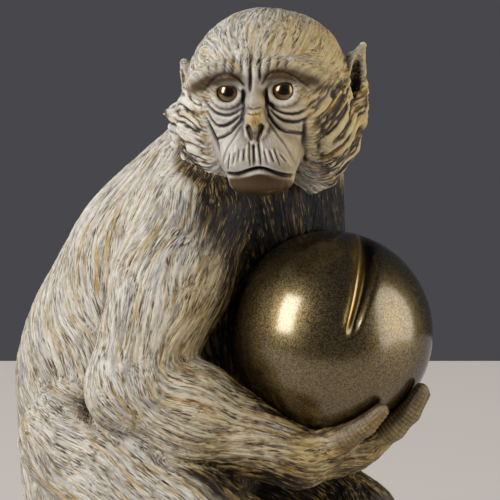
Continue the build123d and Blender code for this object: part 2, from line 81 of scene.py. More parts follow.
def linear(hex_colour: str) -> Tuple[float, float, float, float]:
    """Turns an sRGB hex colour into a linear one.

    Args:
        hex_colour: Six hex digits after a hash sign.

    Returns:
        Linear red, green, blue and an alpha of 1.
    """
    values = [int(hex_colour[i:i + 2], 16) / 255.0 for i in (1, 3, 5)]
    red, green, blue = (v / 12.92 if v <= 0.04045 else ((v + 0.055) / 1.055) ** 2.4 for v in values)
    return red, green, blue, 1.0


def unit(vector: Sequence[float]) -> Array:
    """Returns a vector scaled to length 1."""
    array = np.asarray(vector, dtype=np.float64)
    return array / np.linalg.norm(array)


def ease(low: float, high: float, value: Array) -> Array:
    """Runs smoothly from 0 at low to 1 at high."""
    share = np.clip((value - low) / (high - low), 0.0, 1.0)
    return share * share * (3.0 - 2.0 * share)


def sides(right: Any, left: Any) -> Any:
    """Returns a dataclass field with one value for each side."""
    return field(default_factory=lambda: {Side.RIGHT: right, Side.LEFT: left})


@dataclass(frozen=True)
class Stance:
    """How the figure sits: the same sizes and shares as the solids, in millimetres."""

    hip: Point = (-38.77, 24.85, 2.0)
    turn: float = math.radians(-30.0)
    half_depth: float = 58.0
    half_width: float = 57.0
    height: float = 247.0
    lean: float = 55.0
    fruit_radius: float = 51.0
    head_turn: float = math.radians(-8.0)
    head_tilt: float = math.radians(-3.4)
    head_halves: Point = (39.0, 44.0, 42.0)

    def turned(self, forward: float, left: float, up: float) -> Array:
        """Returns a step given forward, left and up of the body."""
        cosine, sine = math.cos(self.turn), math.sin(self.turn)
        return np.array((forward * cosine - left * sine, forward * sine + left * cosine, up))

    def way(self, forward: float, left: float, up: float) -> Array:
        """Returns the unit direction that lies forward, left and up of the body."""
        return unit(self.turned(forward, left, up))

    def at(self, forward: float, left: float, up: float) -> Array:
        """Returns the place that lies forward, left and up of the seat, in millimetres."""
        return np.array(self.hip) + self.turned(forward, left, up)

    def share(self, forward: float, left: float, up: float) -> Array:
        """Returns a place given in shares of the torso's half depth, half width and height."""
        return self.at(forward * self.half_depth, left * self.half_width, up * self.height)

    @property
    def fruit(self) -> Array:
        """The middle of the fruit."""
        return self.at(1.02 * self.half_depth + self.fruit_radius, 0.05 * self.half_width, 0.595 * self.height)

    @property
    def head(self) -> Array:
        """The middle of the skull."""
        return self.at(0.92 * self.lean + 0.37 * 88.0, -0.205 * 78.0, self.height + 0.23 * 84.0)

    def head_axes(self) -> Array:
        """Returns the head's across, back and up axes as columns."""
        turn, tilt = self.head_turn, self.head_tilt
        about_z = np.array(
            ((math.cos(turn), -math.sin(turn), 0), (math.sin(turn), math.cos(turn), 0), (0, 0, 1)), dtype=float
        )
        about_y = np.array(
            ((math.cos(tilt), 0, math.sin(tilt)), (0, 1, 0), (-math.sin(tilt), 0, math.cos(tilt))), dtype=float
        )
        return about_z @ about_y

    def on_fruit(self, direction: Sequence[float], lift: float) -> Array:
        """Returns the place over the fruit's skin in a direction given forward, left and up."""
        return self.fruit + self.way(*direction) * (self.fruit_radius + lift)


STANCE = Stance()


class Form:
    """A shape that is known by the distance to its surface."""

    def reach(self) -> Tuple[Array, Array]:
        """Returns the lowest and highest corners of the shape's box."""
        raise NotImplementedError

    def distance(self, x: Array, y: Array, z: Array) -> Array:
        """Returns the distance to the surface, negative inside."""
        raise NotImplementedError


@dataclass
class Cone(Form):
    """A limb with round ends: a ball at each end and the skin drawn tight between them."""

    start: Array
    end: Array
    start_radius: float
    end_radius: float

    def reach(self) -> Tuple[Array, Array]:
        """Returns the box round both balls."""
        low = np.minimum(self.start - self.start_radius, self.end - self.end_radius)
        high = np.maximum(self.start + self.start_radius, self.end + self.end_radius)
        return low, high

    def distance(self, x: Array, y: Array, z: Array) -> Array:
        """Returns the distance to the skin, negative inside."""
        axis = self.end - self.start
        length_2 = float(axis @ axis)
        taper = self.start_radius - self.end_radius
        slope_2 = length_2 - taper * taper
        px, py, pz = x - self.start[0], y - self.start[1], z - self.start[2]
        along = px * axis[0] + py * axis[1] + pz * axis[2]
        beyond = along - length_2
        side_2 = ((px * px + py * py + pz * pz) * length_2 - along * along) * length_2
        side_2 = np.maximum(side_2, 0.0)
        limit = math.copysign(1.0, taper) * taper * taper * side_2
        along_2, beyond_2 = along * along * length_2, beyond * beyond * length_2
        at_end = np.sqrt(side_2 + beyond_2) / length_2 - self.end_radius
        at_start = np.sqrt(side_2 + along_2) / length_2 - self.start_radius
        between = (np.sqrt(side_2 * slope_2 / length_2) + along * taper) / length_2 - self.start_radius
        is_end = np.sign(beyond) * slope_2 * beyond_2 > limit
        is_start = np.sign(along) * slope_2 * along_2 < limit
        return np.where(is_end, at_end, np.where(is_start, at_start, between))


@dataclass
class Oval(Form):
    """A ball with three half sizes, turned by three axes."""

    centre: Array
    halves: Point
    axes: Optional[Array] = None

    def reach(self) -> Tuple[Array, Array]:
        """Returns the box round the ball."""
        if self.axes is None:
            spread = np.array(self.halves)
        else:
            spread = np.sqrt(((self.axes * np.array(self.halves)) ** 2).sum(axis=1))
        return np.asarray(self.centre) - spread, np.asarray(self.centre) + spread

    def distance(self, x: Array, y: Array, z: Array) -> Array:
        """Returns a close distance to the skin, negative inside."""
        px, py, pz = x - self.centre[0], y - self.centre[1], z - self.centre[2]
        if self.axes is not None:
            a = self.axes
            px, py, pz = (
                px * a[0, i] + py * a[1, i] + pz * a[2, i] for i in range(3)
            )
        ha, hb, hc = self.halves
        qa, qb, qc = px / ha, py / hb, pz / hc
        near = np.sqrt(qa * qa + qb * qb + qc * qc)
        slope = np.sqrt((qa / ha) ** 2 + (qb / hb) ** 2 + (qc / hc) ** 2)
        return near * (near - 1.0) / np.maximum(slope, 1e-6)


@dataclass
class Trunk(Form):
    """The torso: level ovals from the seat to the neck, with curves through their sizes."""

    rows: Sequence[Tuple[float, float, float, float]]
    stance: Stance = STANCE
    shoulder_round: float = 9.0

    def reach(self) -> Tuple[Array, Array]:
        """Returns a box that holds the torso however it is turned."""
        wide = 1.1 * max(self.stance.half_depth, self.stance.half_width)
        low = np.array(self.stance.hip) + (-wide, -wide - self.stance.lean, 0.0)
        high = np.array(self.stance.hip) + (wide + self.stance.lean, wide, self.stance.height + 6.0)
        return low, high

    def sizes(self, z: Array) -> Tuple[Array, Array, Array]:
        """Returns the lean, half depth and half width at each height."""
        table = np.array(self.rows)
        share = np.clip((z - self.stance.hip[2]) / self.stance.height, 0.0, 1.0)
        heights = table[:, 0]
        index = np.clip(np.searchsorted(heights, share, side="right") - 1, 0, len(heights) - 2)
        span = heights[index + 1] - heights[index]
        t = (share - heights[index]) / span
        slopes = np.gradient(table[:, 1:], heights, axis=0)
        parts = []
        for column, scale in ((0, self.stance.lean), (1, self.stance.half_depth), (2, self.stance.half_width)):
            first, second = table[index, column + 1], table[index + 1, column + 1]
            m0, m1 = slopes[index, column] * span, slopes[index + 1, column] * span
            value = (
                (2 * t ** 3 - 3 * t ** 2 + 1) * first + (t ** 3 - 2 * t ** 2 + t) * m0
                + (3 * t ** 2 - 2 * t ** 3) * second + (t ** 3 - t ** 2) * m1
            )
            parts.append(value * scale)
        return parts[0], parts[1], parts[2]

    def distance(self, x: Array, y: Array, z: Array) -> Array:
        """Returns a close distance to the skin, negative inside."""
        lean, depth, width = self.sizes(z)
        cosine, sine = math.cos(self.stance.turn), math.sin(self.stance.turn)
        dx, dy = x - self.stance.hip[0], y - self.stance.hip[1]
        forward, left = dx * cosine + dy * sine - lean, dy * cosine - dx * sine
        qa, qb = forward / depth, left / width
        near = np.sqrt(qa * qa + qb * qb)
        slope = np.sqrt((qa / depth) ** 2 + (qb / width) ** 2)
        sides = 0.94 * near * (near - 1.0) / np.maximum(slope, 1e-6)
        top = z - (self.stance.hip[2] + self.stance.height)
        return 0.5 * (sides + top + np.sqrt((sides - top) ** 2 + self.shoulder_round ** 2))


class Clay:
    """A block of distances that forms are pressed into and cut from, in millimetres."""

    def __init__(self, low: Sequence[float], high: Sequence[float], cell: float) -> None:
        """Makes an empty block.

        Args:
            low: The lowest corner.
            high: The highest corner.
            cell: The edge of one cell.
        """
        self.low = np.array(low, dtype=np.float64)
        self.cell = cell
        shape = np.ceil((np.array(high) - self.low) / cell).astype(int) + 1
        self.block = np.full(tuple(shape), FAR, dtype=np.float32)

    def window(self, low: Array, high: Array) -> Tuple[Tuple[slice, ...], Tuple[Array, ...]]:
        """Finds the cells within a box.

        Args:
            low: The lowest corner.
            high: The highest corner.

        Returns:
            Their slices and their open coordinates.
        """
        first = np.maximum(np.floor((low - self.low) / self.cell).astype(int), 0)
        last = np.minimum(np.ceil((high - self.low) / self.cell).astype(int) + 1, self.block.shape)
        slices = tuple(slice(int(a), int(max(a, b))) for a, b in zip(first, last))
        lines = [
            (self.low[i] + self.cell * np.arange(s.start, s.stop)).astype(np.float32) for i, s in enumerate(slices)
        ]
        return slices, (lines[0][:, None, None], lines[1][None, :, None], lines[2][None, None, :])

    def add(
        self, form: Form, soft: float, seat: Optional[Array] = None, seat_soft: float = 0.0, seat_reach: float = 1.0
    ) -> None:
        """Presses a form on, with a fillet where it meets the rest.

        Args:
            form: The form to add.
            soft: About how wide the fillet is.
            seat: A place round which the fillet is wider.
            seat_soft: How wide the fillet is there.
            seat_reach: How far from the seat the wider fillet fades out.
        """
        low, high = form.reach()
        margin = max(soft, seat_soft) + FAR
        slices, (x, y, z) = self.window(low - margin, high + margin)
        new = np.minimum(form.distance(x, y, z), FAR).astype(np.float32)
        old = self.block[slices]
        width = soft
        if seat is not None:
            away = (x - seat[0]) ** 2 + (y - seat[1]) ** 2 + (z - seat[2]) ** 2
            width = (soft + (seat_soft - soft) * np.exp(-away / seat_reach ** 2)).astype(np.float32)
        share = np.clip(0.5 + 0.5 * (old - new) / width, 0.0, 1.0)
        self.block[slices] = old * (1.0 - share) + new * share - width * share * (1.0 - share)

    def cut(self, form: Form, soft: float) -> None:
        """Cuts a form away.

        Args:
            form: The form to cut.
            soft: About how far the edge is rounded.
        """
        low, high = form.reach()
        slices, (x, y, z) = self.window(low - soft - 2.0, high + soft + 2.0)
        new = -form.distance(x, y, z).astype(np.float32)
        old = self.block[slices]
        share = np.clip(0.5 - 0.5 * (old - new) / soft, 0.0, 1.0)
        self.block[slices] = old * (1.0 - share) + new * share + soft * share * (1.0 - share)

    def flatten_below(self, height: float) -> None:
        """Cuts everything under a height away."""
        z = self.low[2] + self.cell * np.arange(self.block.shape[2], dtype=np.float32)
        np.maximum(self.block, (height - z)[None, None, :], out=self.block)

    def skin(self) -> Tuple[Array, Array]:
        """Returns the corners and the four-sided faces of the surface."""
        band = 3.0 * self.cell
        grid = vdb.FloatGrid(band)
        grid.copyFromArray(np.clip(self.block, -band, band))
        points, quads = grid.convertToQuads(0.0)
        return points.astype(np.float64) * self.cell + self.low, quads.astype(np.int64)

    def read(self, points: Array) -> Array:
        """Returns the distances at points, between cells."""
        return trilinear(self.block, (points - self.low) / self.cell)


def trilinear(block: Array, places: Array, wrap: bool = False) -> Array:
    """Reads a block between its cells.

    Args:
        block: Values on a grid, with any further axes after the first three.
        places: Points in cells.
        wrap: Whether the block repeats.

    Returns:
        One value, or one row of values, per point.
    """
    floor = np.floor(places).astype(np.int64)
    part = (places - floor).astype(np.float32)
    shape = np.array(block.shape[:3])
    if wrap:
        first, second = np.mod(floor, shape), np.mod(floor + 1, shape)
    else:
        first = np.clip(floor, 0, shape - 1)
        second = np.clip(floor + 1, 0, shape - 1)
    flat = block.reshape((-1,) + block.shape[3:])
    total = None
    for corner in range(8):
        use = [(corner >> axis) & 1 for axis in range(3)]
        index = [second[:, a] if use[a] else first[:, a] for a in range(3)]
        weight = np.ones(len(places), dtype=np.float32)
        for axis in range(3):
            weight = weight * (part[:, axis] if use[axis] else 1.0 - part[:, axis])
        values = flat[(index[0] * shape[1] + index[1]) * shape[2] + index[2]]
        term = values * (weight if values.ndim == 1 else weight[:, None])
        total = term if total is None else total + term
    return total


@dataclass
class Muscle:
    """One form of the body, the casting it belongs to, and the way its fur lies."""

    zone: Zone
    form: Form
    lie: Array
    soft: float
    seat: Optional[Array] = None
    seat_soft: float = 14.0
    seat_reach: float = 34.0


@dataclass
class Body:
    """The figure from the neck down, as forms in millimetres."""

    stance: Stance = STANCE
    torso_rows: Tuple[Tuple[float, float, float, float], ...] = (
        (0.00, 0.00, 0.79, 0.84), (0.07, 0.00, 0.93, 0.96), (0.21, -0.03, 1.03, 1.00), (0.39, -0.04, 1.10, 1.00),
        (0.50, -0.05, 1.11, 1.00), (0.62, 0.06, 1.07, 0.95), (0.73, 0.29, 1.02, 0.86), (0.85, 0.55, 0.93, 0.77),
        (0.93, 0.74, 0.75, 0.62), (1.00, 0.90, 0.53, 0.48),
    )
    shoulder_shares: Point = (0.90, 0.52, 0.835)
    elbow_shares: Dict[Side, Point] = sides((0.66, -1.22, 0.495), (0.34, 1.26, 0.47))
    wrist_ways: Dict[Side, Point] = sides((-0.05, -0.40, -0.92), (-0.16, 0.72, -0.67))
    palm_ways: Dict[Side, Point] = sides((0.13, -0.10, -0.98), (0.02, 0.90, -0.42))
    digits: Dict[Side, Tuple[Tuple[Point, Point], ...]] = sides(
        (
            ((0.22, -0.40, -0.89), (0.69, -0.35, -0.63)), ((0.42, -0.03, -0.91), (0.86, 0.08, -0.48)),
            ((0.36, 0.14, -0.92), (0.73, 0.40, -0.56)), ((0.24, 0.30, -0.92), (0.52, 0.58, -0.62)),
            ((0.08, 0.38, -0.92), (0.28, 0.64, -0.71)),
        ),
        (
            ((-0.22, 0.86, -0.46), (-0.44, 0.86, -0.10)), ((-0.12, 0.98, -0.12), (-0.13, 0.86, 0.50)),
            ((0.04, 0.99, -0.10), (0.06, 0.85, 0.53)), ((0.18, 0.97, -0.14), (0.23, 0.87, 0.44)),
            ((0.29, 0.93, -0.22), (0.30, 0.92, 0.22)),
        ),
    )
    arm_radii: Tuple[float, ...] = (26.0, 29.0, 21.0)
    forearm_radii: Tuple[float, ...] = (19.7, 25.0, 14.5)
    thigh_radii: Tuple[float, ...] = (28.0, 33.0, 21.0)
    shin_radii: Tuple[float, ...] = (19.7, 16.0, 11.0)
    finger_radius: float = 6.6
    finger_shares: Tuple[float, ...] = (1.00, 0.90, 0.79, 0.62)
    palm_halves: Point = (22.0, 18.0, 12.0)
    hip_shares: Point = (-0.09, 0.96, 0.37)
    knee_shares: Point = (1.69, 0.93, 0.178)
    ankle_shares: Point = (0.58, 1.04, 0.06)
    foot_halves: Point = (31.0, 13.5, 11.0)
    foot_turn: float = math.radians(10.0)
    toe_turns: Tuple[float, ...] = (14.0, 5.0, -4.0, -13.0)
    toe_spreads: Tuple[float, ...] = (0.33, 0.11, -0.11, -0.33)
    toe_length: float = 24.0
    toe_radius: float = 5.4
    tail_radius: float = 10.5
    tail_angles: Tuple[float, ...] = (174.0, 200.0, 224.0, 248.0, 268.0)
    tail_shares: Tuple[float, ...] = (1.05, 1.00, 0.92, 0.80, 0.62)
    tail_spreads: Tuple[float, ...] = (0.90, 1.06, 1.14, 1.24, 1.40)
    mane: Tuple[Tuple[Point, Point, float, float], ...] = (
        ((42.0, -2.0, 236.0), (44.0, 6.0, 192.0), 22.5, 22.5),
        ((24.0, -20.0, 236.0), (26.0, -8.0, 196.0), 18.0, 20.0),
        ((3.0, -28.0, 238.0), (0.0, -14.0, 204.0), 17.0, 16.0),
        ((16.0, -12.0, 262.0), (0.0, 4.0, 222.0), 25.0, 32.0),
    )
    swirls: Tuple[Tuple[Point, Point, Point], ...] = (
        ((-86.0, 18.0, 120.0), (44.0, 50.0, 46.0), (1.25, 0.0, -1.0)),
        ((-84.0, 18.0, 70.0), (44.0, 50.0, 40.0), (1.1, 0.0, -0.8)),
        ((-52.0, 4.0, 226.0), (40.0, 44.0, 34.0), (-0.55, 0.0, -1.0)),
    )

    def limb(
        self, zone: Zone, start: Array, end: Array, radii: Sequence[float], middle: float, soft: float,
        seat: Optional[Array] = None,
    ) -> List[Muscle]:
        """Makes a limb that swells at a share of its length.

        Args:
            zone: The casting that the limb belongs to.
            start: The upper joint.
            end: The lower joint.
            radii: Radii at the upper joint, the swelling and the lower joint.
            middle: Where the limb is thickest, as a share of its length.
            soft: The fillet to the forms before it.
            seat: Where the limb grows out of the body with a wider fillet.

        Returns:
            The limb's two forms.
        """
        swell = start + (end - start) * middle
        lie = unit(end - start)
        return [
            Muscle(zone, Cone(start, swell, radii[0], radii[1]), lie, soft, seat),
            Muscle(zone, Cone(swell, end, radii[1], radii[2]), lie, soft, seat),
        ]

    def arm(self, side: Side) -> List[Muscle]:
        """Returns an arm's forms, from the shoulder to the wrist."""
        zone = Zone.RIGHT_ARM if side is Side.RIGHT else Zone.LEFT_ARM
        forward, out, up = self.shoulder_shares
        shoulder = self.stance.share(forward, side.value * out, up)
        elbow = self.stance.share(*self.elbow_shares[side])
        wrist = self.stance.on_fruit(self.wrist_ways[side], self.forearm_radii[2] + 0.15)
        upper = self.limb(zone, shoulder, elbow, self.arm_radii, 0.4, 3.5, shoulder)
        lower = self.limb(zone, elbow, wrist, self.forearm_radii, 0.35, 3.5, elbow)
        return upper + lower

    def hand(self, side: Side) -> List[Muscle]:
        """Returns a hand's forms: the palm and five digits that follow the fruit."""
        zone = Zone.RIGHT_HAND if side is Side.RIGHT else Zone.LEFT_HAND
        wrist = self.stance.on_fruit(self.wrist_ways[side], self.forearm_radii[2])
        outward = self.stance.way(*self.palm_ways[side])
        middle = self.stance.on_fruit(self.palm_ways[side], 0.6 * self.palm_halves[2])
        along = self.stance.way(*self.wrist_ways[side])
        along = unit(along - outward * float(along @ outward))
        axes = np.stack((along, np.cross(outward, along), outward), axis=1)
        forms = [Muscle(zone, Oval(middle, self.palm_halves, axes), -along, 8.0)]
        forms.append(Muscle(zone, Cone(wrist, middle, self.forearm_radii[2] - 1.0, 11.0), unit(middle - wrist), 6.0))
        for start, end in self.digits[side]:
            forms += self.digit(zone, start, end)
        return forms

    def digit(self, zone: Zone, start: Point, end: Point) -> List[Muscle]:
        """Returns a digit as short cones on an arc over the fruit."""
        first, last = self.stance.way(*start), self.stance.way(*end)
        angle = math.acos(float(np.clip(first @ last, -1.0, 1.0)))
        joints = []
        for index in range(len(self.finger_shares)):
            share = index / (len(self.finger_shares) - 1)
            direction = (math.sin((1 - share) * angle) * first + math.sin(share * angle) * last) / math.sin(angle)
            lift = self.finger_shares[index] * self.finger_radius
            joints.append(self.stance.fruit + direction * (self.stance.fruit_radius + lift))
        radii = [share * self.finger_radius for share in self.finger_shares]
        return [
            Muscle(
                zone, Cone(joints[i], joints[i + 1], radii[i], radii[i + 1]), unit(joints[i + 1] - joints[i]),
                (7.0, 2.5, 1.6)[i],
            )
            for i in range(len(joints) - 1)
        ]

    def leg(self, side: Side) -> List[Muscle]:
        """Returns a leg's forms, from the haunch to the toes."""
        zone = Zone.RIGHT_LEG if side is Side.RIGHT else Zone.LEFT_LEG
        hip, knee, ankle = (
            self.stance.share(forward, side.value * left, up)
            for forward, left, up in (self.hip_shares, self.knee_shares, self.ankle_shares)
        )
        forms = self.limb(zone, hip, knee, self.thigh_radii, 0.35, 4.0, hip)
        forms += self.limb(zone, knee, ankle, self.shin_radii, 0.4, 6.0, knee)
        turn = side.value * self.foot_turn
        toes_way = self.stance.way(math.cos(turn), math.sin(turn), 0.0)
        across = np.cross((0.0, 0.0, 1.0), toes_way)
        ground = self.stance.hip[2]
        sole = np.array((ankle[0], ankle[1], ground + 0.6 * self.foot_halves[2]))
        sole = sole + toes_way * 0.72 * self.foot_halves[0]
        axes = np.stack((toes_way, across, np.array((0.0, 0.0, 1.0))), axis=1)
        forms.append(Muscle(zone, Oval(sole, self.foot_halves, axes), toes_way, 6.0))
        low = np.array((sole[0], sole[1], ground + 0.85 * self.toe_radius))
        for spread, angle in zip(self.toe_spreads, self.toe_turns):
            root = low + toes_way * 0.68 * self.foot_halves[0] + across * side.value * spread * 2 * self.foot_halves[1]
            bend = side.value * math.radians(angle)
            way = toes_way * math.cos(bend) + across * math.sin(bend)
            tip = root + way * self.toe_length
            forms.append(Muscle(zone, Cone(root, tip, self.toe_radius, self.toe_radius), way, 1.6))
        bend = -side.value * math.radians(40.0)
        way = toes_way * math.cos(bend) + across * math.sin(bend)
        root = low + toes_way * 0.1 * self.foot_halves[0]
        tip = root + way * (self.foot_halves[1] + self.toe_length / 2)
        forms.append(Muscle(zone, Cone(root, tip, self.toe_radius, self.toe_radius), way, 2.0))
        return forms

    def tail(self) -> List[Muscle]:
        """Returns the tail's forms, from the rump to the tip."""
        joints, radii = [], []
        for angle, share, spread in zip(self.tail_angles, self.tail_shares, self.tail_spreads):
            radius = share * self.tail_radius
            turn = math.radians(angle)
            joints.append(
                self.stance.at(
                    math.cos(turn) * spread * self.stance.half_depth, math.sin(turn) * spread * self.stance.half_width,
                    0.85 * radius,
                )
            )
            radii.append(radius)
        return [
            Muscle(
                Zone.TAIL, Cone(joints[i], joints[i + 1], radii[i], radii[i + 1]), unit(joints[i + 1] - joints[i]), 6.0
            )
            for i in range(len(joints) - 1)
        ]

    def muscles(self) -> List[Muscle]:
        """Returns every form of the body in the order that they are pressed on."""
        torso = Muscle(Zone.TORSO, Trunk(self.torso_rows, self.stance), self.stance.way(0.35, 0.0, -1.0), 4.0)
        forms = [torso] + self.tail()
        for start, end, first, last in self.mane:
            fall = unit(np.array(end) - np.array(start))
            forms.append(Muscle(Zone.TORSO, Cone(np.array(start), np.array(end), first, last), fall, 12.0))
        for side in Side:
            forms += self.leg(side)
        for side in Side:
            forms += self.arm(side) + self.hand(side)
        return forms

    def sculpt(self, cell: float) -> Tuple[Clay, List[Muscle]]:
        """Presses the whole body together and cuts the fruit's seat and the flat underside.

        Args:
            cell: The clay's cell in millimetres.

        Returns:
            The clay and the forms in it.
        """
        muscles = self.muscles()
        corners = [m.form.reach() for m in muscles]
        low = np.min([c[0] for c in corners], axis=0) - 4.0
        high = np.max([c[1] for c in corners], axis=0) + 4.0
        low[2] = self.stance.hip[2] - 2.0
        clay = Clay(low, high, cell)
        for muscle in muscles:
            clay.add(muscle.form, muscle.soft, muscle.seat, muscle.seat_soft, muscle.seat_reach)
        radius = self.stance.fruit_radius + 0.3
        clay.cut(Oval(self.stance.fruit, (radius, radius, radius)), 1.2)
        clay.flatten_below(self.stance.hip[2])
        return clay, muscles


class Coat:
    """Carved fur: the lie of the hair over a clay, and the strands combed along it."""

    def __init__(self, low: Array, high: Array, cell: float, seed: int) -> None:
        """Makes an empty field of hair directions.

        Args:
            low: The lowest corner that has fur.
            high: The highest corner.
            cell: The edge of one cell of the field.
            seed: What the carver's irregularity starts from.
        """
        self.low, self.cell = np.array(low), cell
        shape = np.ceil((np.array(high) - self.low) / cell).astype(int) + 1
        lines = [(self.low[i] + cell * np.arange(shape[i])).astype(np.float32) for i in range(3)]
        self.x, self.y, self.z = lines[0][:, None, None], lines[1][None, :, None], lines[2][None, None, :]
        self.lie = np.zeros(tuple(shape) + (3,), dtype=np.float32)
        random = np.random.default_rng(seed)
        self.grains = [random.normal(size=(72, 72, 72)).astype(np.float32) for _ in range(3)]
        self.scatter = random.random(size=(48, 48, 48, 3)).astype(np.float32)

    def press(self, form: Form, lie: Array) -> Array:
        """Lays fur along one form.

        Args:
            form: The form.
            lie: The way of its hair.

        Returns:
            The distances to the form.
        """
        distance = np.broadcast_to(form.distance(self.x, self.y, self.z), self.lie.shape[:3]).astype(np.float32)
        self.lie += np.exp(-np.clip(distance, -3.0, 30.0) / 4.0)[..., None] * lie.astype(np.float32)
        return distance

    def settle(self, distance: Array, wander: float) -> None:
        """Turns the hair flat on the surface and lets it wander as carved locks do.

        Args:
            distance: Distances to the surface on the field's cells.
            wander: How far the locks turn from the lie, in radians.
        """
        normal = np.stack(np.gradient(distance, self.cell), axis=-1).astype(np.float32)
        normal /= np.maximum(np.linalg.norm(normal, axis=-1, keepdims=True), 1e-4)
        lie = self.lie - normal * (self.lie * normal).sum(axis=-1, keepdims=True)
        lie /= np.maximum(np.linalg.norm(lie, axis=-1, keepdims=True), 1e-4)
        shape = distance.shape
        places = np.stack(np.meshgrid(*[np.arange(n) * self.cell / 17.0 for n in shape], indexing="ij"), axis=-1)
        angle = wander * trilinear(self.grains[2], places.reshape(-1, 3), wrap=True).reshape(shape)
        turned = np.cross(normal, lie)
        self.lie = (lie * np.cos(angle)[..., None] + turned * np.sin(angle)[..., None]).astype(np.float32)

    def comb(self, points: Array, spacings: Sequence[float], reach: float, step: float) -> List[Array]:
        """Draws grains of noise out along the hair.

        Args:
            points: Where the strands are wanted, in millimetres.
            spacings: One strand spacing for each result.
            reach: How far each grain is drawn out both ways.
            step: How far each step goes.

        Returns:
            One list of values about 0 for each spacing.
        """
        totals = [trilinear(g, points / s, wrap=True) for g, s in zip(self.grains, spacings)]
        for sign in (1.0, -1.0):
            places = points.copy()
            for _ in range(int(round(reach / step))):
                lie = trilinear(self.lie, (places - self.low) / self.cell)
                places = places + sign * step * lie
                for total, grain, spacing in zip(totals, self.grains, spacings):
                    total += trilinear(grain, places / spacing, wrap=True)
        return [total / max(float(total.std()), 1e-6) for total in totals]

    def strand_places(self, points: Array, lock: float, stretch: float) -> Tuple[Array, Array]:
        """Lays the finish out along the hair, one small lock at a time.

        Args:
            points: Where the finish is wanted, in millimetres.
            lock: About how long a lock is.
            stretch: How many times longer than wide a strand is.

        Returns:
            A place for each point in metres, shortened along the hair, and how far the point is inside its lock.
        """
        cell = np.floor(points / lock).astype(np.int64)
        best = np.full(len(points), 1e9)
        second = np.full(len(points), 1e9)
        anchor = np.zeros_like(points)
        for step in np.ndindex(3, 3, 3):
            corner = cell + np.array(step) - 1
            index = np.mod(corner, self.scatter.shape[0])
            spot = (corner + self.scatter[index[:, 0], index[:, 1], index[:, 2]]) * lock
            away = ((points - spot) ** 2).sum(axis=1)
            closer = away < best
            second = np.where(closer, best, np.minimum(second, away))
            best = np.where(closer, away, best)
            anchor[closer] = spot[closer]
        lie = trilinear(self.lie, (anchor - self.low) / self.cell)
        lie /= np.maximum(np.linalg.norm(lie, axis=1, keepdims=True), 1e-4)
        along = ((points - anchor) * lie).sum(axis=1)
        inside = ease(0.0, 2.2, np.sqrt(second) - np.sqrt(best))
        return (points - lie * (along * (1.0 - 1.0 / stretch))[:, None]) * MM, inside


def gather(quads: Array, values: Array, count: int) -> Array:
    """Adds each face's vector to the face's corners.

    Args:
        quads: The corners of each face.
        values: One vector for each face.
        count: How many corners there are.

    Returns:
        The sum for each corner.
    """
    total = np.zeros((count, 3))
    for axis in range(3):
        for corner in range(4):
            total[:, axis] += np.bincount(quads[:, corner], weights=values[:, axis], minlength=count)
    return total


def corner_normals(points: Array, quads: Array) -> Array:
    """Works out the outward unit normal at each corner.

    Args:
        points: The corners.
        quads: The four-sided faces.

    Returns:
        One normal for each corner.
    """
    a, b, c, d = (points[quads[:, i]] for i in range(4))
    total = gather(quads, np.cross(c - a, d - b), len(points))
    return total / np.maximum(np.linalg.norm(total, axis=1, keepdims=True), 1e-9)


def smoothed(points: Array, quads: Array, rounds: int) -> Array:
    """Evens a skin out by averaging each corner with its neighbours.

    Args:
        points: The corners.
        quads: The four-sided faces.
        rounds: How often this is done.

    Returns:
        The moved corners.
    """
    counts = np.maximum(np.bincount(quads.ravel(), minlength=len(points)), 1)
    for _ in range(rounds):
        points = gather(quads, points[quads].mean(axis=1), len(points)) / counts[:, None]
    return points


def add_object(name: str, data: bpy.types.ID) -> bpy.types.Object:
    """Puts a mesh, light or camera into the scene.

    Args:
        name: The object's name.
        data: What it shows.

    Returns:
        The new object, at the origin.
    """
    thing = bpy.data.objects.new(name, data)
    bpy.context.collection.objects.link(thing)
    return thing


def paint_mesh(mesh: bpy.types.Mesh, paint: Dict[str, Array]) -> None:
    """Stores painted values or vectors on a mesh's corners.

    Args:
        mesh: The mesh.
        paint: One array for each name.
    """
    for name, values in paint.items():
        kind, part = ("FLOAT", "value") if values.ndim == 1 else ("FLOAT_VECTOR", "vector")
        mesh.attributes.new(name, kind, "POINT").data.foreach_set(part, values.astype(np.float32).ravel())


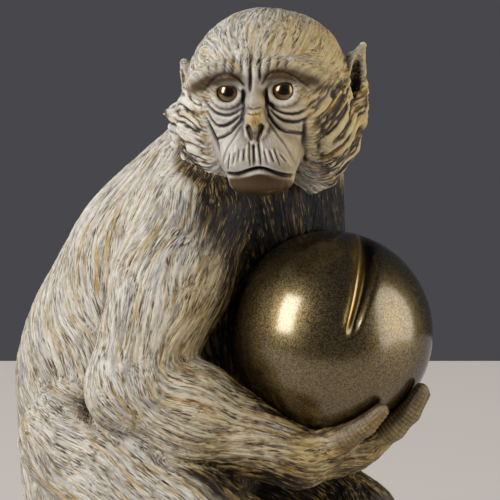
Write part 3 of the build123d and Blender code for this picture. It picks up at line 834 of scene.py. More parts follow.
@dataclass
class Surface:
    """A sculpted skin: its corners in millimetres, faces, normals and painted values."""

    points: Array
    quads: Array
    normals: Array
    paint: Dict[str, Array]
    rim_depth: float = 1.8
    fan_depth: float = 3.0

    def part(self, chosen: Array) -> "Surface":
        """Returns the chosen faces as a skin of their own, with its old normals."""
        used, places = np.unique(self.quads[chosen], return_inverse=True)
        paint = {name: values[used] for name, values in self.paint.items()}
        return Surface(self.points[used], places.reshape(-1, 4), self.normals[used], paint)

    def rims(self) -> List[List[int]]:
        """Returns the loops of open edges, each in the direction of its faces."""
        starts = self.quads.ravel()
        ends = np.roll(self.quads, -1, axis=1).ravel()
        keys = np.minimum(starts, ends) * len(self.points) + np.maximum(starts, ends)
        _, inverse, counts = np.unique(keys, return_inverse=True, return_counts=True)
        open_edges = counts[inverse.ravel()] == 1
        following: Dict[int, List[int]] = {}
        for start, end in zip(starts[open_edges].tolist(), ends[open_edges].tolist()):
            following.setdefault(start, []).append(end)
        loops = []
        while following:
            first = next(iter(following))
            loop, here = [], first
            while here in following:
                loop.append(here)
                ways = following[here]
                here = ways.pop()
                if not ways:
                    del following[loop[-1]]
            loops.append(loop)
        return loops

    def make(self, name: str, material: bpy.types.Material) -> bpy.types.Object:
        """Makes a closed piece, with a fan over each open rim.

        Args:
            name: The piece's name.
            material: Its finish.

        Returns:
            The new object, at the origin.
        """
        points, normals = [self.points], [self.normals]
        paint = {key: [values] for key, values in self.paint.items()}
        fans, count = [], len(self.points)
        for loop in self.rims():
            sunk = self.points[loop] - self.rim_depth * self.normals[loop]
            middle = sunk.mean(axis=0) - self.fan_depth * self.normals[loop].mean(axis=0)
            points += [sunk, middle[None]]
            normals += [self.normals[loop], self.normals[loop].mean(axis=0)[None]]
            for key, values in self.paint.items():
                paint[key] += [values[loop], values[loop].mean(axis=0, keepdims=True)]
            size = len(loop)
            for place in range(size):
                after = (place + 1) % size
                a, b, c, d = loop[place], loop[after], count + place, count + after
                fans += [(b, a, c), (b, c, d), (d, c, count + size)]
            count += size + 1
        fan_array = np.array(fans, dtype=np.int64).reshape(-1, 3)
        mesh = bpy.data.meshes.new(name)
        corners = np.concatenate(points) * MM
        mesh.vertices.add(len(corners))
        mesh.vertices.foreach_set("co", corners.astype(np.float32).ravel())
        loops = np.concatenate((self.quads.ravel(), fan_array.ravel()))
        mesh.loops.add(len(loops))
        mesh.loops.foreach_set("vertex_index", loops.astype(np.int32))
        firsts = np.concatenate(
            (4 * np.arange(len(self.quads)), 4 * len(self.quads) + 3 * np.arange(len(fan_array)))
        )
        mesh.polygons.add(len(firsts))
        mesh.polygons.foreach_set("loop_start", firsts.astype(np.int32))
        mesh.polygons.foreach_set("use_smooth", np.ones(len(firsts), dtype=bool))
        mesh.update(calc_edges=True)
        paint_mesh(mesh, {key: np.concatenate(values) for key, values in paint.items()})
        mesh.normals_split_custom_set_from_vertices(np.concatenate(normals).astype(np.float32))
        mesh.materials.append(material)
        return add_object(name, mesh)


def dress(piece: bpy.types.Object, slot: str, *nodes: str) -> None:
    """Sets a piece in the frame.

    Args:
        piece: The piece.
        slot: Its finish slot, which is not used.
        *nodes: The solids that it stands for.
    """
    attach(piece, "root")
    if nodes:
        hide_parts(*nodes)
    LOG.info("%s: %d faces", piece.name, len(piece.data.polygons))


@dataclass(frozen=True)
class Groove:
    """A line drawn on the face, seen from the front, in millimetres from the middle of the head."""

    line: Tuple[Tuple[float, float], ...]
    width: float
    depth: float

    def rounded(self) -> List[Tuple[float, float]]:
        """Returns the line with each corner cut to a third."""
        line = [self.line[0]]
        for (ax, az), (bx, bz) in zip(self.line, self.line[1:]):
            line += [(ax + (bx - ax) * share, az + (bz - az) * share) for share in (0.3, 0.7)]
        return line + [self.line[-1]]

    def press(self, x: Array, z: Array) -> Array:
        """Works out how deep the line is at each place.

        Args:
            x: Places across.
            z: Places up.

        Returns:
            The depths, 0 away from the line and less towards its ends.
        """
        best = np.zeros(x.shape)
        line = self.rounded() if len(self.line) > 2 else list(self.line)
        count = len(line) - 1
        for index, ((ax, az), (bx, bz)) in enumerate(zip(line, line[1:])):
            dx, dz = bx - ax, bz - az
            share = np.clip(((x - ax) * dx + (z - az) * dz) / (dx * dx + dz * dz), 0.0, 1.0)
            away = (x - ax - share * dx) ** 2 + (z - az - share * dz) ** 2
            along = (index + share) / count
            taper = 0.35 + 0.65 * np.sqrt(np.clip(4.0 * along * (1.0 - along), 0.0, 1.0))
            best = np.maximum(best, taper * np.exp(-away / (self.width / 2.0) ** 2))
        return self.depth * best


@dataclass
class Head:
    """The head in its own axes: across, back and up from the middle of the skull."""

    stance: Stance = STANCE
    eyes: Dict[Side, Point] = sides((-12.4, -36.4, 1.6), (14.2, -36.1, 1.0))
    eye_radius: float = 6.4
    tuft_count: int = 8
    tuft_radius: float = 9.5
    tuft_tips: Dict[Side, float] = sides(2.6, 4.2)
    tuft_tops: Dict[Side, float] = sides(1.0, 11.0)
    tuft_step: float = 10.5
    tuft_soft: float = 6.0
    ruff_middle: Point = (0.0, -5.3, -8.0)
    ruff_widths: Dict[Side, float] = sides(49.0, 46.0)
    ruff_size: Tuple[float, float] = (9.7, 46.0)
    block: Tuple[Point, Point] = ((-58.0, -60.0, -58.0), (58.0, 50.0, 48.0))
    skull_soft: float = 4.0
    crown: Mass = ((8.8, 3.0, 10.5), (31.2, 36.0, 29.0), 3.0)
    cheek: Mass = ((23.4, -4.3, -16.5), (20.6, 21.0, 28.0), 8.0)
    middle_face: Mass = ((0.0, -21.1, -10.1), (29.6, 22.0, 26.9), 8.0)
    muzzle: Mass = ((0.8, -34.4, -28.0), (20.2, 17.5, 17.5), 5.0)
    chin: Mass = ((1.0, -36.0, -42.2), (15.4, 11.0, 7.0), 5.0)
    lip: Mass = ((7.6, -44.0, -27.4), (9.4, 8.6, 9.2), 4.0)
    nose_tip: Mass = ((1.3, -49.6, -12.6), (4.8, 4.8, 6.0), 2.6)
    nose_bridge: Tuple[Point, ...] = ((0.6, -42.0, 5.0), (1.0, -45.4, -4.0), (1.2, -48.6, -12.0))
    ear_tips: Dict[Side, Point] = sides((-41.0, 9.0, 17.5), (49.0, 9.0, 20.5))
    ear_roots: Dict[Side, Point] = sides((-35.5, 7.6, 4.0), (39.5, 7.6, 4.0))
    ear_lobes: Dict[Side, Point] = sides((-38.5, 7.0, -6.0), (46.0, 7.0, -8.0))
    brow: Tuple[Point, ...] = (
        (31.5, -26.0, 6.0), (26.5, -32.4, 8.6), (18.5, -38.4, 10.4), (9.5, -41.4, 10.6), (0.0, -41.4, 11.0),
    )
    lid: Tuple[Point, ...] = (
        (30.5, -27.6, 1.6), (25.4, -33.8, 2.2), (21.4, -37.4, 5.0), (17.6, -39.8, 8.0), (12.2, -41.8, 9.2),
        (7.4, -43.2, 7.6), (4.8, -43.8, 3.6),
    )
    grooves: Tuple[Groove, ...] = (
        Groove(
            ((-15.5, -37.4), (-11.6, -38.0), (-7.7, -37.8), (-3.6, -36.6), (0.2, -35.6), (3.2, -35.6), (6.4, -36.8),
             (9.6, -38.4), (13.0, -39.6), (16.5, -40.2)), 1.7, 2.4),
        # The lower lip: a raised line that is painted lighter, a painted highlight along the lip.
        Groove(((-13.0, -39.6), (-6.5, -39.8), (0.2, -37.8), (4.0, -38.0), (9.0, -40.4), (14.0, -41.8)), 1.2, -0.4),
        Groove(((0.4, -23.5), (-0.2, -28.0), (-0.4, -34.2)), 1.1, 0.6),
        Groove(((-26.0, 1.6), (-22.4, 4.6), (-18.6, 8.6), (-12.9, 10.6), (-7.2, 9.4), (-3.6, 4.6)), 1.3, 0.8),
        Groove(((27.0, 0.8), (23.4, 4.2), (19.4, 8.4), (13.8, 10.6), (8.6, 9.4), (5.4, 4.6)), 1.3, 0.8),
        Groove(((0.2, 20.0), (0.2, 10.7), (-0.9, 2.0)), 2.0, 1.3),
        Groove(((4.8, 20.0), (4.6, 12.0), (4.4, 7.0)), 1.8, 1.1),
        Groove(((9.4, 18.0), (8.8, 10.0)), 1.8, 1.0),
        Groove(((13.6, 18.0), (13.0, 10.6)), 1.7, 0.9),
        Groove(((17.6, 17.0), (17.0, 11.0)), 1.6, 0.7),
        Groove(((-4.4, 20.0), (-4.2, 10.6)), 1.8, 1.0),
        Groove(((-8.6, 19.5), (-8.2, 11.0)), 1.8, 1.0),
        Groove(((-12.8, 18.5), (-12.4, 11.2)), 1.7, 0.9),
        Groove(((-17.0, 17.0), (-16.4, 11.2)), 1.6, 0.7),
        Groove(((-21.0, 15.0), (-20.4, 10.6)), 1.5, 0.5),
        Groove(((-25.1, -0.9), (-21.6, -6.3), (-15.7, -9.3), (-10.0, -9.0), (-5.4, -5.6)), 1.6, 1.0),
        Groove(((-24.2, -6.2), (-20.6, -13.2), (-16.9, -14.8), (-11.7, -13.4), (-6.8, -10.0)), 1.6, 1.0),
        Groove(((-20.0, -20.6), (-12.8, -18.4), (-8.8, -14.6), (-5.8, -11.8)), 1.6, 1.0),
        Groove(((-28.0, -3.0), (-25.6, -9.0), (-22.3, -15.1), (-20.0, -21.4), (-18.0, -28.6)), 2.0, 1.1),
        Groove(((7.6, -4.6), (11.2, -8.4), (16.8, -10.8), (23.1, -10.2), (27.6, -5.8)), 1.6, 1.0),
        Groove(((8.1, -7.4), (11.0, -11.4), (16.0, -14.4), (22.8, -14.5), (26.6, -11.2)), 1.6, 1.0),
        Groove(((7.4, -10.4), (9.8, -14.6), (14.0, -18.0), (18.7, -19.4), (22.3, -20.4)), 1.6, 1.0),
        Groove(((23.6, -14.0), (22.4, -24.4), (20.6, -34.8)), 2.0, 1.2),
        Groove(((-4.4, 2.4), (-4.8, -5.0), (-6.0, -12.0)), 1.5, 0.8),
        Groove(((6.8, 2.0), (6.6, -5.0), (7.4, -11.0)), 1.5, 0.8),
        Groove(((-1.8, -6.2), (1.4, -7.0), (4.4, -6.2)), 1.1, 0.4),
        Groove(((-1.8, -9.0), (1.4, -9.8), (4.4, -9.0)), 1.1, 0.4),
        Groove(((-6.4, -15.0), (-9.6, -20.5), (-14.4, -27.0), (-16.8, -34.0)), 1.3, 0.4),
        Groove(((7.8, -14.6), (12.2, -20.5), (16.6, -27.0), (18.6, -35.0)), 1.3, 0.4),
    )
    # Brown patches: the brown paint of the lids and chin, with painted shade under the brow ridge, in the nostrils and
    # under the chin.
    brown_and_shade_patches: Tuple[Groove, ...] = (
        Groove(((-31.0, 4.0), (-25.5, 5.6), (-19.0, 8.4), (-11.0, 9.8), (-4.0, 7.6)), 6.6, 1.5),
        Groove(((31.0, 3.4), (25.5, 5.2), (19.0, 8.4), (12.0, 9.6), (6.0, 7.2)), 6.6, 1.5),
        Groove(((-12.0, -47.5), (1.0, -48.6), (13.0, -48.0)), 13.0, 1.9),
        Groove(((-14.0, -41.2), (-5.0, -41.4), (3.0, -39.7), (9.0, -41.9), (15.0, -43.5)), 4.0, 1.8),
        Groove(((-1.6, -16.0), (0.4, -22.0)), 3.0, 0.9),
        Groove(((4.4, -16.0), (1.8, -22.0)), 3.0, 0.9),
    )

    def whisker_lines(self) -> List[Groove]:
        """Returns the uneven strokes on the upper lip, cut and raised by turns."""
        random = np.random.default_rng(3)
        lines = []
        for index, start in enumerate(np.linspace(-12.6, 13.6, 23)):
            shift = random.uniform(-0.4, 0.4)
            top = -23.4 - 0.022 * start * start + random.uniform(-3.4, 1.4)
            low = -32.4 - 0.012 * start * start + random.uniform(-2.2, 2.6)
            depth = random.uniform(0.25, 0.65) if index % 2 else -random.uniform(0.10, 0.34)
            lines.append(Groove(((start + shift, top), (1.2 * start + shift, low)), random.uniform(0.75, 1.1), depth))
        return lines

    def out(self, points: Array) -> Array:
        """Moves points from the head's own axes to the figure's."""
        return points @ self.stance.head_axes().T + self.stance.head

    def turned(self, yaw: float, pitch: float = 0.0, roll: float = 0.0) -> Array:
        """Returns axes that lean sideways, then tip about across, then turn about up."""
        cy, sy, cp, sp = math.cos(yaw), math.sin(yaw), math.cos(pitch), math.sin(pitch)
        cr, sr = math.cos(roll), math.sin(roll)
        about_up = np.array(((cy, -sy, 0.0), (sy, cy, 0.0), (0.0, 0.0, 1.0)))
        about_across = np.array(((1.0, 0.0, 0.0), (0.0, cp, -sp), (0.0, sp, cp)))
        about_back = np.array(((cr, 0.0, sr), (0.0, 1.0, 0.0), (-sr, 0.0, cr)))
        return about_up @ about_across @ about_back

    def tufts(self) -> List[Cone]:
        """Returns the large locks of the cheek ruff, from the temple to the jaw."""
        cones = []
        for side in Side:
            for index in range(self.tuft_count):
                angle = math.radians(self.tuft_tops[side] - self.tuft_step * index)
                reach = np.array(
                    (side.value * math.cos(angle) * self.ruff_widths[side], self.ruff_size[0],
                     math.sin(angle) * self.ruff_size[1])
                ) * (1.0 if index % 2 == 0 else 0.96)
                middle = np.array(self.ruff_middle)
                cones.append(Cone(middle + 0.55 * reach, middle + reach, self.tuft_radius, self.tuft_tips[side]))
        return cones

    def chain(self, clay: Clay, joints: Sequence[Sequence[float]], radii: Tuple[float, float], soft: float) -> None:
        """Presses a bent ridge on.

        Args:
            clay: The head.
            joints: Where the ridge runs.
            radii: Its first and last radius.
            soft: Its fillet.
        """
        sizes = np.linspace(radii[0], radii[1], len(joints))
        for index in range(len(joints) - 1):
            start, end = np.array(joints[index], dtype=float), np.array(joints[index + 1], dtype=float)
            clay.add(Cone(start, end, float(sizes[index]), float(sizes[index + 1])), soft)

    def mass(self, clay: Clay, middle: Point, halves: Point, soft: float) -> None:
        """Presses one oval on, with its fillet."""
        clay.add(Oval(np.array(middle), halves), soft)

    def sculpt(self, cell: float) -> Clay:
        """Presses the head together.

        Args:
            cell: The clay's cell in millimetres.

        Returns:
            The clay, in the head's own axes.
        """
        clay = Clay(*self.block, cell)
        self.mass(clay, (0.0, 0.0, 0.0), self.stance.head_halves, self.skull_soft)
        self.mass(clay, *self.crown)
        for side in Side:
            (x, y, z), halves, soft = self.cheek
            self.mass(clay, (side.value * x, y, z), halves, soft)
        self.mass(clay, *self.middle_face)
        for tuft in self.tufts():
            clay.add(tuft, self.tuft_soft)
        self.mass(clay, *self.muzzle)
        self.mass(clay, *self.chin)
        for side in Side:
            sign = side.value
            (x, y, z), halves, soft = self.lip
            self.mass(clay, (sign * x + 1.0, y, z), halves, soft)
            clay.cut(Oval(np.array((self.eyes[side][0], -47.0, 0.6)), (9.4, 9.6, 8.2)), 5.0)
            self.chain(clay, [(sign * x, y, z) for x, y, z in self.brow], (2.4, 3.0), 8.0)
            self.chain(clay, [(sign * x, y, z) for x, y, z in self.lid], (1.9, 1.7), 1.8)
            self.eyelids(clay, side)
        self.chain(clay, self.nose_bridge, (3.0, 4.0), 3.0)
        self.mass(clay, *self.nose_tip)
        for side in Side:
            sign = side.value
            self.chain(
                clay, ((1.3 + sign * 4.0, -47.8, -15.2), (1.2 + sign * 3.0, -49.8, -19.0), (0.9, -51.4, -22.6)),
                (2.1, 1.5), 1.6,
            )
            self.chain_cut(clay, ((1.3 + sign * 3.2, -52.4, -15.8), (1.1 + sign * 1.5, -54.0, -21.8)), 1.15)
            self.ear(clay, side)
        return clay

    def chain_cut(self, clay: Clay, joints: Sequence[Sequence[float]], radius: float) -> None:
        """Cuts a short round channel between two joints."""
        start, end = (np.array(joint, dtype=float) for joint in joints)
        clay.cut(Cone(start, end, radius + 0.6, radius), 0.8)
        clay.cut(Cone(start + (0.0, 1.8, 0.0), end + (0.0, 1.8, 0.0), radius, 0.8 * radius), 0.8)

    def ear(self, clay: Clay, side: Side) -> None:
        """Presses one pointed ear on and hollows its dish.

        Args:
            clay: The head.
            side: The side that the ear is on.
        """
        sign, tip = side.value, np.array(self.ear_tips[side])
        lean = self.turned(sign * math.radians(24.0), 0.0, sign * math.radians(16.0))
        middle = np.array(self.ear_roots[side])
        clay.add(Oval(middle, (4.4, 10.0, 14.0), lean), 3.0)
        clay.add(Cone(tip, np.array(self.ear_lobes[side]), 1.1, 4.0), 3.0)
        clay.add(Cone(middle + (sign * 2.4, 0.6, 7.0), tip, 4.0, 0.9), 3.0)
        dish = middle + lean @ np.array((sign * 2.4, -8.4, 2.0))
        clay.cut(Oval(dish, (2.9, 8.0, 10.5), lean), 2.0)

    def eyelids(self, clay: Clay, side: Side) -> None:
        """Presses the rims round one eye and bores the eye's seat.

        Args:
            clay: The head.
            side: The side that the eye is on.
        """
        eye, sign = np.array(self.eyes[side]), side.value
        joints = []
        for angle in np.linspace(0.0, 2.0 * math.pi, 19):
            across, up = 6.7 * math.cos(angle), 6.3 * math.sin(angle)
            joints.append(eye + np.array((across, -4.0 + 0.16 * across * sign, up)))
        self.chain(clay, joints, (1.5, 1.5), 1.2)
        bore = self.eye_radius + 0.1
        clay.cut(Oval(eye, (bore, bore, bore)), 0.5)


def add_node(
    tree: bpy.types.NodeTree, kind: str, inputs: Inputs = (), out: Key = 0,
    stops: Sequence[Tuple[float, str]] = (), **settings: object,
) -> Optional[bpy.types.NodeSocket]:
    """Adds a node with its settings and links.

    Args:
        tree: The tree that gets the node.
        kind: The node's type.
        inputs: A socket to link or a value to set for each input, in order or by name or number.
        out: The output that is wanted.
        stops: A colour ramp's places and hex colours.
        **settings: The node's own options.

    Returns:
        The output, or None where the node has none.
    """
    node = tree.nodes.new(kind)
    for name, value in settings.items():
        setattr(node, name, value)
    for key, value in inputs.items() if isinstance(inputs, dict) else enumerate(inputs):
        if isinstance(value, bpy.types.NodeSocket):
            tree.links.new(value, node.inputs[key])
        else:
            node.inputs[key].default_value = value
    if stops:
        elements = node.color_ramp.elements
        elements.remove(elements[-1])
        elements[0].position, elements[0].color = stops[0][0], linear(stops[0][1])
        for place, colour in stops[1:]:
            elements.new(place).color = linear(colour)
    return node.outputs[out] if len(node.outputs) else None


def new_material(name: str) -> Tuple[bpy.types.Material, bpy.types.NodeTree]:
    """Makes an empty material.

    Args:
        name: What it is and how it was made.

    Returns:
        The material and its tree.
    """
    material = bpy.data.materials.new(name)
    material.use_nodes = True
    material.node_tree.nodes.clear()
    return material, material.node_tree


@dataclass(frozen=True)
class AntiquedResin:
    """Cold-cast resin, carved, stained and dry-brushed, with painted shade in its closed-in places and painted warm
    shade on one side. A range is two values and what they turn into.
    """

    fur: Ramp = ((0.12, "#2a2118"), (0.36, "#7d7261"), (0.58, "#b3ab9b"), (0.90, "#d8d3c7"))
    # Painted shade: near-black to dull gold fur for closed-in places such as the chest and the crook of the arm.
    shaded_fur: Ramp = ((0.24, "#070504"), (0.48, "#241b11"), (0.72, "#6b5631"), (1.0, "#b39a5f"))
    skin: Ramp = ((0.10, "#130e0a"), (0.38, "#6f665d"), (0.58, "#aba398"), (0.82, "#dbd5cc"))
    brown: Ramp = ((0.15, "#150e08"), (0.60, "#48351f"), (0.90, "#6b5234"))
    ochre: str = "#b8913f"
    violet: str = "#9d9ba2"
    gilt_and_warm_shade: str = "#f2dba2"
    patch_mm: float = 24.0
    strand_mm: float = 0.58
    patch_range: Range = (0.3, 0.7, -0.10, 0.10)
    strand_range: Range = (0.0, 1.0, 2.3, 0.4)
    ochre_range: Range = (0.3, 2.6, 0.0, 0.66)
    violet_range: Range = (-0.5, -2.2, 0.0, 0.5)
    rough_range: Range = (0.0, 1.0, 0.60, 0.38)
    # Painted shade: how closed in a place is, turned into how much of the shaded fur colours is mixed in.
    shade_range: Range = (0.19, 0.62, 0.0, 1.0)

    def make(self) -> bpy.types.Material:
        """Returns the material, which reads the values painted on the skin."""
        # To the eye: ivory strands over near-black furrows, a smooth satin face, near-black painted shade in closed-in
        # places, and gold painted as warm shade on the side turned from the key lamp.
        material, tree = new_material("antiqued_cold_cast_resin")
        relief, occlusion_shade, skin, brown_paint_and_shade, tint, inside, gilt_and_warm_shade = (
            add_node(tree, "ShaderNodeAttribute", out="Fac", attribute_name=name)
            for name in ("relief", "occlusion_shade", "skin", "brown_paint_and_shade", "tint", "inside", "gilt_and_warm_shade")
        )
        place = add_node(tree, "ShaderNodeTexCoord", out="Object")
        laid = add_node(tree, "ShaderNodeAttribute", out="Vector", attribute_name="strand_place")
        patch, strand = (
            add_node(
                tree, "ShaderNodeTexNoise",
                {"Vector": vector, "Scale": 1.0 / (size * MM), "Detail": detail, "Roughness": rough}, "Fac",
            )
            for vector, size, detail, rough in ((place, self.patch_mm, 3.0, 0.5), (laid, self.strand_mm, 2.0, 0.6))
        )
        bare = add_node(tree, "ShaderNodeMath", (skin, brown_paint_and_shade), operation="MAXIMUM")
        uneven, coat, warm, cool, rough = (
            add_node(tree, "ShaderNodeMapRange", (value, *limits))
            for value, limits in (
                (patch, self.patch_range), (bare, self.strand_range), (tint, self.ochre_range),
                (tint, self.violet_range), (bare, self.rough_range),
            )
        )
        # Painted shade: closed-in places are mixed towards the near-black shaded fur colours.
        deep = add_node(tree, "ShaderNodeMapRange", (occlusion_shade, *self.shade_range), interpolation_type="SMOOTHSTEP")
        line = add_node(tree, "ShaderNodeMath", (strand, 0.5), operation="SUBTRACT")
        coat = add_node(tree, "ShaderNodeMath", (coat, inside), operation="MULTIPLY")
        height = add_node(tree, "ShaderNodeMath", (line, coat), operation="MULTIPLY")
        brushed = add_node(tree, "ShaderNodeMath", (relief, uneven), operation="ADD")
        brushed = add_node(tree, "ShaderNodeMath", (line, coat, brushed), operation="MULTIPLY_ADD")
        colour, shaded_fur, face, brown = (
            add_node(tree, "ShaderNodeValToRGB", (brushed,), "Color", stops)
            for stops in (self.fur, self.shaded_fur, self.skin, self.brown)
        )
        # The gilt colour multiplies the face and the fur: real gilt on the hands and nose tip, and painted warm shade
        # on the side away from the key lamp.
        gold = linear(self.gilt_and_warm_shade)
        face = add_node(
            tree, "ShaderNodeMix", {0: gilt_and_warm_shade, 6: face, 7: gold}, 2, data_type="RGBA", blend_type="MULTIPLY"
        )
        # Mixed in turn: ochre and violet streaks, gilt that is partly painted warm shade, near-black painted shade, the
        # face's skin, and brown paint that is partly painted shade.
        for share, over, blend in (
            (warm, linear(self.ochre), "MIX"), (cool, linear(self.violet), "MIX"), (gilt_and_warm_shade, gold, "MULTIPLY"),
            (deep, shaded_fur, "MIX"), (skin, face, "MIX"), (brown_paint_and_shade, brown, "MIX"),
        ):
            colour = add_node(
                tree, "ShaderNodeMix", {0: share, 6: colour, 7: over}, 2, data_type="RGBA", blend_type=blend
            )
        bump = add_node(tree, "ShaderNodeBump", {"Height": height, "Strength": 0.55, "Distance": 0.5 * MM})
        shader = add_node(
            tree, "ShaderNodeBsdfPrincipled",
            {"Base Color": colour, "Roughness": rough, "Normal": bump, "IOR": 1.5, "Specular IOR Level": 0.32},
        )
        add_node(tree, "ShaderNodeOutputMaterial", (shader,))
        return material


@dataclass(frozen=True)
class FlakeLacquer:
    """Bronze flake paint under clear gloss lacquer."""

    flakes: Ramp = ((0.25, "#54462c"), (0.75, "#8d7a50"))
    edge: str = "#17110a"
    # Painted shade: the dark brown of the crease, strongest where it is deepest.
    brown_paint_and_shade: str = "#1c130a"
    # Painted highlight: the pale gold along the raised lip beside the crease.
    lip_highlight: str = "#b08c46"
    flake_mm: float = 0.5
    rough_range: Range = (0.2, 0.8, 0.30, 0.41)
    gloss_range: Range = (0.2, 0.7, 0.9, 0.15)

    def make(self) -> bpy.types.Material:
        """Returns the material, which reads the crease and its lip from the fruit."""
        # To the eye: a dark mirror over a broad gold glow with a fine glint, and a dull crease painted dark as painted
        # shade, with a painted highlight of pale gold along its lip.
        material, tree = new_material("bronze_flake_lacquer")
        place = add_node(tree, "ShaderNodeTexCoord", out="Object")
        # Real flakes are a tenth of this; they are drawn as coarse as the render can show.
        flake = add_node(
            tree, "ShaderNodeTexVoronoi", {"Vector": place, "Scale": 1.0 / (self.flake_mm * MM)}, "Color"
        )
        grey = add_node(tree, "ShaderNodeRGBToBW", (flake,))
        colour = add_node(tree, "ShaderNodeValToRGB", (grey,), "Color", self.flakes)
        crease, lip = (
            add_node(tree, "ShaderNodeAttribute", out="Fac", attribute_name=name) for name in ("crease", "lip")
        )
        for share, over in ((crease, self.brown_paint_and_shade), (lip, self.lip_highlight)):
            colour = add_node(tree, "ShaderNodeMix", {0: share, 6: colour, 7: linear(over)}, 2, data_type="RGBA")
        rough = add_node(tree, "ShaderNodeMapRange", (grey, *self.rough_range))
        gloss = add_node(tree, "ShaderNodeMapRange", (crease, *self.gloss_range))
        shader = add_node(
            tree, "ShaderNodeBsdfPrincipled",
            {
                "Base Color": colour, "Roughness": rough, "Metallic": 1.0, "Specular Tint": linear(self.edge),
                "Coat Weight": gloss, "Coat Roughness": 0.15, "Coat IOR": 1.6,
            },
        )
        add_node(tree, "ShaderNodeOutputMaterial", (shader,))
        return material


@dataclass(frozen=True)
class EyeEnamel:
    """Glossy metallic enamel on a bead, in rings from the rim to the middle of the gaze."""

    rings: Ramp = ((0.35, "#0c0704"), (0.62, "#7d5f2c"), (0.86, "#7d5f2c"), (0.96, "#3a2a12"))

    def make(self) -> bpy.types.Material:
        """Returns the material, which reads the gaze from the bead."""
        # To the eye: a wet dark gold iris that goes black towards the lids, with one sharp highlight.
        material, tree = new_material("eye_enamel_gloss")
        gaze = add_node(tree, "ShaderNodeAttribute", out="Fac", attribute_name="gaze")
        colour = add_node(tree, "ShaderNodeValToRGB", (gaze,), "Color", self.rings)
        shader = add_node(
            tree, "ShaderNodeBsdfPrincipled",
            {
                "Base Color": colour, "Roughness": 0.24, "Metallic": 1.0, "Coat Weight": 1.0, "Coat Roughness": 0.09,
                "Coat IOR": 1.7,
            },
        )
        add_node(tree, "ShaderNodeOutputMaterial", (shader,))
        return material


@dataclass(frozen=True)
class PinSteel:
    """Plain drawn steel rod."""

    greys: Ramp = ((0.3, "#7d7d7f"), (0.7, "#b4b4b6"))
    scratch_mm: float = 0.4

    def make(self) -> bpy.types.Material:
        """Returns the material."""
        # To the eye: pale grey metal, a little uneven from fine scratches.
        material, tree = new_material("drawn_pin_steel")
        place = add_node(tree, "ShaderNodeTexCoord", out="Object")
        scratch = add_node(
            tree, "ShaderNodeTexNoise", {"Vector": place, "Scale": 1.0 / (self.scratch_mm * MM), "Detail": 3.0}, "Fac"
        )
        colour = add_node(tree, "ShaderNodeValToRGB", (scratch,), "Color", self.greys)
        shader = add_node(tree, "ShaderNodeBsdfPrincipled", {"Base Color": colour, "Roughness": 0.34, "Metallic": 1.0})
        add_node(tree, "ShaderNodeOutputMaterial", (shader,))
        return material


@dataclass(frozen=True)
class PressedFelt:
    """Pressed wool felt with short crossing fibres."""

    wool: Ramp = ((0.35, "#14110f"), (0.65, "#2e2925"))
    fibre_mm: float = 0.6

    def make(self) -> bpy.types.Material:
        """Returns the material."""
        # To the eye: nearly black, matt and fuzzy, with no highlight at all.
        material, tree = new_material("pressed_wool_felt")
        place = add_node(tree, "ShaderNodeTexCoord", out="Object")
        fibre = add_node(
            tree, "ShaderNodeTexNoise",
            {"Vector": place, "Scale": 1.0 / (self.fibre_mm * MM), "Detail": 4.0, "Distortion": 1.5}, "Fac",
        )
        colour = add_node(tree, "ShaderNodeValToRGB", (fibre,), "Color", self.wool)
        bump = add_node(tree, "ShaderNodeBump", {"Height": fibre, "Strength": 0.6, "Distance": 0.3 * MM})
        shader = add_node(
            tree, "ShaderNodeBsdfPrincipled",
            {"Base Color": colour, "Roughness": 0.95, "Normal": bump, "Sheen Weight": 0.3},
        )
        add_node(tree, "ShaderNodeOutputMaterial", (shader,))
        return material


